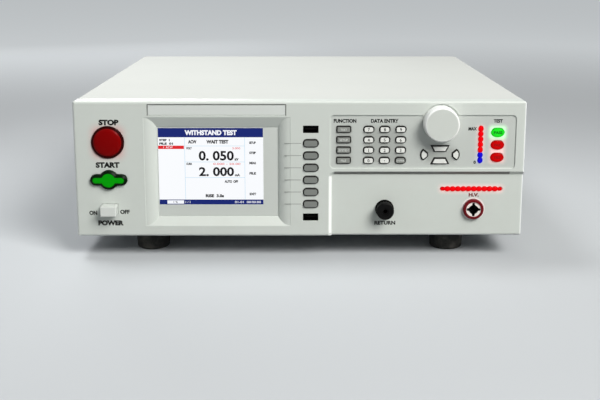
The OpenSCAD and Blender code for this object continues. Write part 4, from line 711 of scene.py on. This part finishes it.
def word(text, x, z, depth, height=None, width=None, ink=INK, weight=0.012):
    """A printed word on the control front, in millimetres, centred, scaled to a height or width or both."""
    pick()
    bpy.ops.object.text_add(location=(0, 0, 0))
    letters = bpy.context.object
    letters.data.body = text
    letters.data.size = 1.0
    letters.data.extrude = 0.01
    letters.data.offset = weight
    letters.data.resolution_u = 3
    bpy.ops.object.convert(target="MESH")
    letters = bpy.context.object
    points = [v.co for v in letters.data.vertices]
    low = Vector([min(p[i] for p in points) for i in range(3)])
    high = Vector([max(p[i] for p in points) for i in range(3)])
    size = high - low
    tall = height * MM / size.y if height else width * MM / size.x
    wide = width * MM / size.x if width else tall
    middle = (low + high) / 2
    bpy.ops.object.mode_set(mode="EDIT")
    bpy.ops.mesh.select_all(action="SELECT")
    bpy.ops.mesh.remove_doubles(threshold=0.0001)
    bpy.ops.transform.translate(value=-middle)
    bpy.ops.transform.resize(value=(wide, tall, ink * MM / size.z), center_override=(0, 0, 0))
    bpy.ops.object.mode_set(mode="OBJECT")
    return settle(letters, front(x, z, depth - ink / 2))


def gather(name, parts, finish, body="cabinet"):
    """Joins parts into one piece with one finish, and lets it ride on a body."""
    pick(*parts)
    if len(parts) > 1:
        bpy.ops.object.join()
    piece = bpy.context.view_layer.objects.active
    piece.name = name
    piece.data.name = name
    piece.data.materials.clear()
    piece.data.materials.append(finish)
    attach(piece, body)
    return piece


def block(width, height, thick, edge=0.0, taper=1.0):
    """A block that faces up, in millimetres, its front edges bevelled and one long side narrowed."""
    pick()
    bpy.ops.mesh.primitive_plane_add(size=1, location=(0, 0, 0))
    made = bpy.context.object
    bpy.ops.object.mode_set(mode="EDIT")
    bpy.ops.mesh.select_all(action="SELECT")
    bpy.ops.transform.resize(value=(width * MM, height * MM, 1), center_override=(0, 0, 0))
    bpy.ops.object.mode_set(mode="OBJECT")
    for vertex in made.data.vertices:
        vertex.select = vertex.co.y > 0
    bpy.ops.object.mode_set(mode="EDIT")
    bpy.ops.transform.resize(value=(taper, 1, 1), center_override=(0, 0, 0))
    bpy.ops.mesh.select_all(action="SELECT")
    bpy.ops.mesh.extrude_region_move(TRANSFORM_OT_translate={"value": (0, 0, thick * MM)})
    if edge:
        bpy.ops.mesh.bevel(offset=edge * MM, segments=3, affect="EDGES")
    bpy.ops.mesh.select_all(action="SELECT")
    bpy.ops.mesh.normals_make_consistent(inside=False)
    bpy.ops.object.mode_set(mode="OBJECT")
    return made


def plate(x0, z0, x1, z1, depth, thick, edge=0.0):
    """A thin block on the control front, in millimetres, its back at the depth."""
    return settle(block(x1 - x0, z1 - z0, thick, edge), front((x0 + x1) / 2, (z0 + z1) / 2, depth))


finishes["ink_dark"] = moulded("ink_dark", srgb(20, 20, 19), 0.5, bump=0.05, dust=0.0, gleam=0.2)
finishes["ink_red"] = moulded("ink_red", srgb(112, 16, 24), 0.5, bump=0.05, dust=0.0, gleam=0.2)
FIELD_DEPTH, OUTPUT_DEPTH = 1.0, 3.0
HEAVY, BROAD = 0.05, 0.062
large_words = [
    ("STOP", -181.0, 111.6, 0, 5.6, 19.0), ("START", -183.4, 70.4, 0, 5.6, 22.8),
    ("POWER", -182.2, 13.2, 0, 5.2, 24.6),
]
small_words = [
    ("ON", -199.0, 23.2, 0, 4.4, 7.6), ("OFF", -168.4, 24.2, 0, 4.2, 9.2),
    ("FUNCTION", 43.1, 113.0, FIELD_DEPTH, 3.7, 21.5), ("DATA ENTRY", 80.8, 113.0, FIELD_DEPTH, 3.7, 26.2),
    ("MAX", 164.4, 105.4, FIELD_DEPTH, 3.3, 8.0), ("0", 167.3, 72.9, FIELD_DEPTH, 3.3, 2.2),
    ("TEST", 188.4, 112.9, FIELD_DEPTH, 3.4, 8.6),
    ("RETURN", 82.6, 12.5, OUTPUT_DEPTH, 3.9, 20.4),
]
made = [word(*row, weight=BROAD) for row in large_words] + [word(*row, weight=HEAVY) for row in small_words]
words = gather("front_words", made, finishes["ink_dark"])
gather("high_voltage_word", [word("H.V.", 167.9, 40.4, OUTPUT_DEPTH, 3.6, 9.8, weight=HEAVY)], finishes["ink_red"])
print("words", len(made) + 1, "faces", len(words.data.polygons))

# %% [markdown]
# ## The lit picture
# The display shows the test's settings. Each colour of the picture is one thin piece that lies on the
# glass: bars and lines are planes cut to size, and the figures are text made mesh. They share the glass
# shader and differ only in the colour that they give off.

# %% Screen plate helper
SCREEN_DEPTH = (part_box("lcd_screen")[0].y - FACE_Y) / MM
SCREEN_LEFT, SCREEN_TOP = -135.55, 105.3
SCREEN_W, SCREEN_H = 100.6, 75.2
LAYER = 0.06


def on_screen(u, v):
    """The millimetre place of a share of the picture, counted from its upper left corner."""
    return SCREEN_LEFT + u * SCREEN_W, SCREEN_TOP - v * SCREEN_H


def bar(u0, v0, u1, v1, layer=1):
    """A flat bar of the picture between two corners."""
    x0, z0 = on_screen(u0, v1)
    x1, z1 = on_screen(u1, v0)
    return plate(x0, z0, x1, z1, SCREEN_DEPTH - (layer - 0.5) * LAYER, LAYER / 2)


def figure(text, u, v, height, width=None, layer=2, left=True, weight=0.01):
    """A line of figures on the picture: one end at u, its middle at v, its height and width as shares."""
    x, z = on_screen(u, v)
    line = word(text, x, z, SCREEN_DEPTH - (layer - 0.5) * LAYER, height * SCREEN_H, width and width * SCREEN_W,
                LAYER / 2, weight)
    ends = [vertex.co.x for vertex in line.data.vertices]
    line.location.x = x * MM - (min(ends) if left else max(ends))
    bpy.ops.object.transform_apply(location=True, rotation=False, scale=False)
    return line


print("screen depth", round(SCREEN_DEPTH, 2), "mm behind the face")

# %% Bars and lines of the picture
HEAD, FOOT, SIDE, EDGE = 0.12, 0.935, 0.25, 0.822
navy = [bar(0, 0, 1, HEAD), bar(0, FOOT, 1, 1)]
cyan = [bar(SIDE, v, EDGE, v + 0.005) for v in (0.230, 0.438, 0.643)]
cyan += [bar(u, HEAD, u + 0.004, FOOT) for u in (SIDE, EDGE)]
rose = [bar(0.0, 0.228, SIDE - 0.004, 0.272)]
white = [bar(0.075, 0.945, 0.235, 0.990, layer=2)]
for name, plates, colour in (("screen_navy", navy, srgb(20, 36, 112)), ("screen_cyan", cyan, srgb(186, 220, 240)),
                             ("screen_rose", rose, srgb(222, 40, 44)), ("screen_box", white, srgb(246, 249, 255))):
    gather(name, plates, lit(name, colour))
print("bars", len(navy + cyan + rose + white))

# %% Figures of the picture
SMALL, BOLD = 0.055, 0.03
bold_rows = [("0. 050", 0.385, 0.359, 0.127, 0.335), ("2. 000", 0.385, 0.567, 0.120, 0.335)]
small_rows = [
    ("kV", 0.728, 0.406, 0.034), ("mA", 0.728, 0.611, 0.034),
    ("ACW", 0.286, 0.178, 0.046, 0.080), ("WAIT TEST", 0.460, 0.178, 0.048, 0.21),
    ("VOLT", 0.265, 0.262, 0.030, 0.055), ("CURR", 0.265, 0.466, 0.030, 0.055),
    ("RISE  3.0s", 0.445, 0.885, 0.042, 0.175),
    ("STEP  1", 0.012, 0.156, 0.030, 0.10), ("FILE  01", 0.012, 0.202, 0.030, 0.13),
]
for v, label in ((0.19, "SETUP"), (0.322, "STEP"), (0.455, "MEAS"), (0.59, "FILE"), (0.862, "EXIT")):
    small_rows.append((label, 0.868, v, 0.032, 0.062))
black = [figure(*line, weight=BOLD) for line in bold_rows] + [figure(*line, weight=SMALL) for line in small_rows]
black += [figure("AUTO  OFF", 0.757, 0.697, 0.036, 0.128, left=False, weight=SMALL),
          figure("1 %", 0.135, 0.968, 0.030, layer=3)]
red = [figure("5.000", 0.782, 0.262, 0.026, 0.075, left=False),
       figure("0.000 - 20.00", 0.782, 0.466, 0.026, 0.26, left=False)]
pale = [figure("WITHSTAND TEST", 0.255, 0.060, 0.066, 0.495, weight=SMALL), figure("1 / 1", 0.25, 0.968, 0.030),
        figure("01-01  00:00:00", 0.975, 0.968, 0.030, 0.25, left=False), figure("1  ACW", 0.05, 0.250, 0.026)]
for name, lines, colour in (("screen_black_figures", black, srgb(10, 10, 14)),
                            ("screen_red_figures", red, srgb(228, 84, 90)),
                            ("screen_pale_figures", pale, srgb(246, 248, 254))):
    made = gather(name, lines, lit(name, colour))
    print(name, len(made.data.polygons), "faces")

# %% [markdown]
# ## Small printed marks
# A thin line joins each soft key to its words on the display, and the keys carry their own legends. A
# legend is printed on a moving cap, so each one rides on its key.

# %% Soft key lines
LEADER_LEFT, LEADER_RIGHT, LEADER_HALF = -14.6, 1.6, 0.22


def copies(piece, steps):
    """The piece and its copies, each with its own mesh, at steps in millimetres to the right and up."""
    made = [piece]
    for right, up in steps:
        pick(piece)
        bpy.ops.object.duplicate(linked=False)
        copy = bpy.context.object
        copy.location = (right * MM, 0, up * MM)
        bpy.ops.object.transform_apply(location=True, rotation=False, scale=False)
        made.append(copy)
    return made


finishes["ink_grey"] = moulded("ink_grey", srgb(120, 122, 120), 0.5, bump=0.05, dust=0.0)
first, *others = [centre_of(f"softkey_{i}")[1] for i in range(1, 7)]
leader = plate(LEADER_LEFT, first - LEADER_HALF, LEADER_RIGHT, first + LEADER_HALF, 0, INK)
leaders = copies(leader, [(0, z - first) for z in others])
gather("soft_key_lines", leaders, finishes["ink_grey"])
print("soft key lines", len(leaders))

# %% Key legends
finishes["ink_pale"] = moulded("ink_pale", srgb(214, 218, 214), 0.5, bump=0.05, dust=0.0)
KEY_FRONT = (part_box("enter_key")[0].y - FACE_Y) / MM
FUNCTIONS = ("TEST", "SETUP", "SYSTEM", "FILE")
legends = [(f"function_key_{i}", label, 2.1, "ink_pale") for i, label in enumerate(FUNCTIONS, 1)]
legends += [(f"digit_key_{digit}", str(digit), 3.0, "ink_dark") for digit in range(10)]
legends += [("point_key", ".", 0.9, "ink_dark"), ("enter_key", "ENTER", 1.7, "ink_pale")]
for key, label, tall, ink in legends:
    gather(f"legend_{key}", [word(label, *centre_of(key), KEY_FRONT, tall)], finishes[ink], key)
print("key legends", len(legends))

# %% [markdown]
# ## Turned lenses and the stop button
# A lamp's lens and the stop button are bodies of revolution. One vertex is drawn along the profile by
# extruding it step by step, from the crown to the foot, and spun once round. A lens is wider than its
# hole, so its collar lies on the plastic, and the row of lenses reads as one string of beads.

# %% Turning helper
def turned(profile, x, z, depth, steps=40, stretch=1.0):
    """A turned body on the control front: (radius, height) points in millimetres, from its crown to its foot."""
    pick()
    bpy.ops.mesh.primitive_plane_add(size=MM, location=(0, 0, 0))
    body = bpy.context.object
    bpy.ops.object.mode_set(mode="EDIT")
    bpy.ops.mesh.select_all(action="SELECT")
    bpy.ops.mesh.merge(type="CENTER")
    bpy.ops.transform.translate(value=(profile[0][0] * MM, 0, profile[0][1] * MM))
    for (r0, h0), (r1, h1) in zip(profile, profile[1:]):
        bpy.ops.mesh.extrude_vertices_move(TRANSFORM_OT_translate={"value": ((r1 - r0) * MM, 0, (h1 - h0) * MM)})
    bpy.ops.mesh.select_all(action="SELECT")
    bpy.ops.mesh.spin(steps=steps, angle=2 * math.pi, center=(0, 0, 0), axis=(0, 0, 1))
    bpy.ops.mesh.select_all(action="SELECT")
    bpy.ops.mesh.remove_doubles(threshold=0.000002)
    bpy.ops.mesh.dissolve_degenerate(threshold=0.000001)
    bpy.ops.mesh.select_all(action="SELECT")
    bpy.ops.mesh.normals_make_consistent(inside=False)
    bpy.ops.transform.resize(value=(stretch, 1, 1), center_override=(0, 0, 0))
    bpy.ops.object.mode_set(mode="OBJECT")
    bpy.ops.object.shade_smooth_by_angle(angle=math.radians(40))
    return settle(body, front(x, z, depth))


def dome(radius, rise, skirt, flat=0.0, rings=8):
    """The profile of a lens: a flat crown, a round shoulder, a skirt, and a closed foot."""
    turns = [k / rings * math.pi / 2 for k in range(rings + 1)]
    crown = [(flat + (radius - flat) * math.sin(a), rise * math.cos(a)) for a in turns]
    return ([(0.0, rise)] if flat else []) + crown + [(radius, -skirt), (0.0, -skirt)]


print("lens profile", len(dome(2.5, 1.5, 0.4)), "points")

# %% Level lamps and high-voltage row
LEVEL_TOP, LED_PITCH, LEVEL_COUNT, RED_COUNT, ROW_COUNT = 105.5, 5.08, 7, 5, 12
RISE, SKIRT, SIDES = 1.5, 0.4, 24
LEVEL_R, ROW_R, END_R, END_RISE, END_SHIFT = 3.15, 2.6, 1.9, 1.1, 0.8
tall = turned(dome(LEVEL_R, RISE, SKIRT), LEVEL_X, LEVEL_TOP, FIELD_DEPTH, SIDES, stretch=0.83)
column = copies(tall, [(0, -LED_PITCH * i) for i in range(1, LEVEL_COUNT)])
reds = gather("red_level_beads", column[:RED_COUNT], finishes["led_red"])
blues = gather("blue_level_beads", column[RED_COUNT:], finishes["led_blue"])
row_start, row_length = ROW_X - LED_PITCH * (ROW_COUNT - 1) / 2, LED_PITCH * (ROW_COUNT - 1)
small = turned(dome(END_R, END_RISE, SKIRT), row_start + END_SHIFT, ROW_Z, OUTPUT_DEPTH, SIDES, stretch=1.4)
wide = turned(dome(ROW_R, RISE, SKIRT), row_start + LED_PITCH, ROW_Z, OUTPUT_DEPTH, SIDES, stretch=1.22)
beads = copies(small, [(row_length - 2 * END_SHIFT, 0)])
beads += copies(wide, [(LED_PITCH * i, 0) for i in range(1, ROW_COUNT - 2)])
row = gather("red_row_beads", beads, finishes["led_red_row"])
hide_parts("red_leds")
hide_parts("blue_leds")
print("beads", len(column) + len(beads), "row faces", len(row.data.polygons))

# %% Result lamps
LAMP_PITCH, OVAL_R, OVAL_FLAT, OVAL_RISE = 12.1, 4.66, 2.2, 1.6
lamp_zs = [LAMP_Z - LAMP_PITCH * i for i in range(3)]
oval = turned(dome(OVAL_R, OVAL_RISE, SKIRT, flat=OVAL_FLAT), LAMP_X, LAMP_Z, FIELD_DEPTH, stretch=1.41)
ovals = copies(oval, [(0, z - LAMP_Z) for z in lamp_zs[1:]])
green = gather("pass_lens", ovals[:1], finishes["lamp_green"])
reds = gather("fail_lenses", ovals[1:], finishes["lamp_red"])
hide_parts("pass_lamp")
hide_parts("fail_lamps")
LAMP_FRONT = FIELD_DEPTH - OVAL_RISE
passed = word("PASS", LAMP_X, lamp_zs[0], LAMP_FRONT, 3.0, 8.2, weight=HEAVY)
failed = [word(label, LAMP_X, z, LAMP_FRONT, 2.6, 6.8, weight=HEAVY) for label, z in zip(("FAIL", "TEST"), lamp_zs[1:])]
gather("pass_word", [passed], lit("ink_green", srgb(0, 132, 8)))
gather("fail_words", failed, lit("ink_deep_red", srgb(156, 0, 0)))
print("result lamps", len(lamp_zs))

# %% Stop button
CROWN_R, CROWN_FOOT, CROWN_RISE, CROWN_RINGS = 13.3, 1.7, 2.3, 10
turns = [k / CROWN_RINGS * math.pi / 2 for k in range(CROWN_RINGS + 1)]
crown = [(CROWN_R * math.sin(a), CROWN_FOOT + CROWN_RISE * math.cos(a)) for a in turns]
shoulder = [(13.6, 1.5), (14.0, 1.4), (14.6, 1.55), (15.1, 1.4), (15.4, 1.1), (15.5, 0.7), (15.5, -3.0), (0.0, -3.0)]
stop = gather("stop_cap", [turned(crown + shoulder, STOP_X, STOP_Z, 0, 80)], finishes["stop_red"], "stop_button")
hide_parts("stop_button")
print("stop cap faces", len(stop.data.polygons))

# %% [markdown]
# ## Name strip
# The strip above the display is a thin foil let into a shallow seat. It stays bare here: a satin plate
# with softened edges, a little smaller than its seat, so that a fine shadow line runs round it.

# %% Name strip
STRIP, SEAT_DEPTH, STRIP_THICK, STRIP_EDGE = (-143.6, 118.7, -13.6, 128.1), 0.68, 0.4, 0.18
strip = gather("name_strip", [plate(*STRIP, SEAT_DEPTH, STRIP_THICK, edge=STRIP_EDGE)],
               moulded("strip_foil", srgb(216, 221, 217), 0.3, scale=2600, bump=0.08, dust=0.04))
print("name strip faces", len(strip.data.polygons))

# %% [markdown]
# ## Contacts on the rear panel
# The CAD solids of the mains inlet and the two nine-way sockets are each one piece, but the real ones are
# metal and plastic together. Plated sleeves go over the inlet's three blades, and a dark insert with
# nine contacts goes on the front of each socket's shell, so that both read as what they are.

# %% Inlet blades
PANEL_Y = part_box("rear_panel")[1].y


def to_rear(piece, x, z, proud):
    """Sets a piece on the rear panel, facing out, at a place in millimetres."""
    return settle(piece, (x * MM, PANEL_Y + proud * MM, BODY_Z + z * MM), -math.pi / 2)


INLET_X, INLET_Z = centre_of("power_inlet")
BLADE_X, BLADE_Z, BLADE_DEPTH = 7.0, 2.0, -10.0
BLADE = (2.3, 4.3, 10.1, 0.5)
blade = to_rear(block(*BLADE), INLET_X - BLADE_X, INLET_Z - BLADE_Z, BLADE_DEPTH)
blades = copies(blade, [(2 * BLADE_X, 0), (BLADE_X, 2 * BLADE_Z)])
gather("inlet_blades", blades, finishes["screw_steel"])
print("inlet blades", len(blades))

# %% Nine-way contacts
PORT_MIDDLE, PORT_Z = centre_of("remote_port")
PORT_GAP, PORT_FRONT = 46.0, 6.0
PIN_PITCH, PIN_ROW = 2.77, 1.42
INSERT, INSERT_TAPER, CONTACT = (15.4, 6.8, 0.12, 0.05), 0.86, (1.1, 1.1, 0.1, 0.04)
left = PORT_MIDDLE + PORT_GAP / 2
pins = [(PIN_PITCH * i, PIN_ROW) for i in range(-2, 3)] + [(PIN_PITCH * (i - 1.5), -PIN_ROW) for i in range(4)]
pins += [(x - PORT_GAP, z) for x, z in pins]
insert = to_rear(block(*INSERT, taper=INSERT_TAPER), left, PORT_Z, PORT_FRONT)
inserts = copies(insert, [(-PORT_GAP, 0)])
pin_x, pin_z = pins[0]
contact = to_rear(block(*CONTACT), left + pin_x, PORT_Z + pin_z, PORT_FRONT + INSERT[2])
contacts = copies(contact, [(x - pin_x, z - pin_z) for x, z in pins[1:]])
gather("port_inserts", inserts, finishes["socket_black"])
gather("port_contacts", contacts, finishes["stud_brass"])
print("contacts", len(contacts))

# %% [markdown]
# Finishes and small pieces mustn't make the object bigger than its CAD model, so both boxes are printed
# for comparison.

visual_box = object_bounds()
for label, corners in (("cad box", cad_box), ("visual box", visual_box)):
    print(label, [[round(v, 4) for v in c] for c in corners])
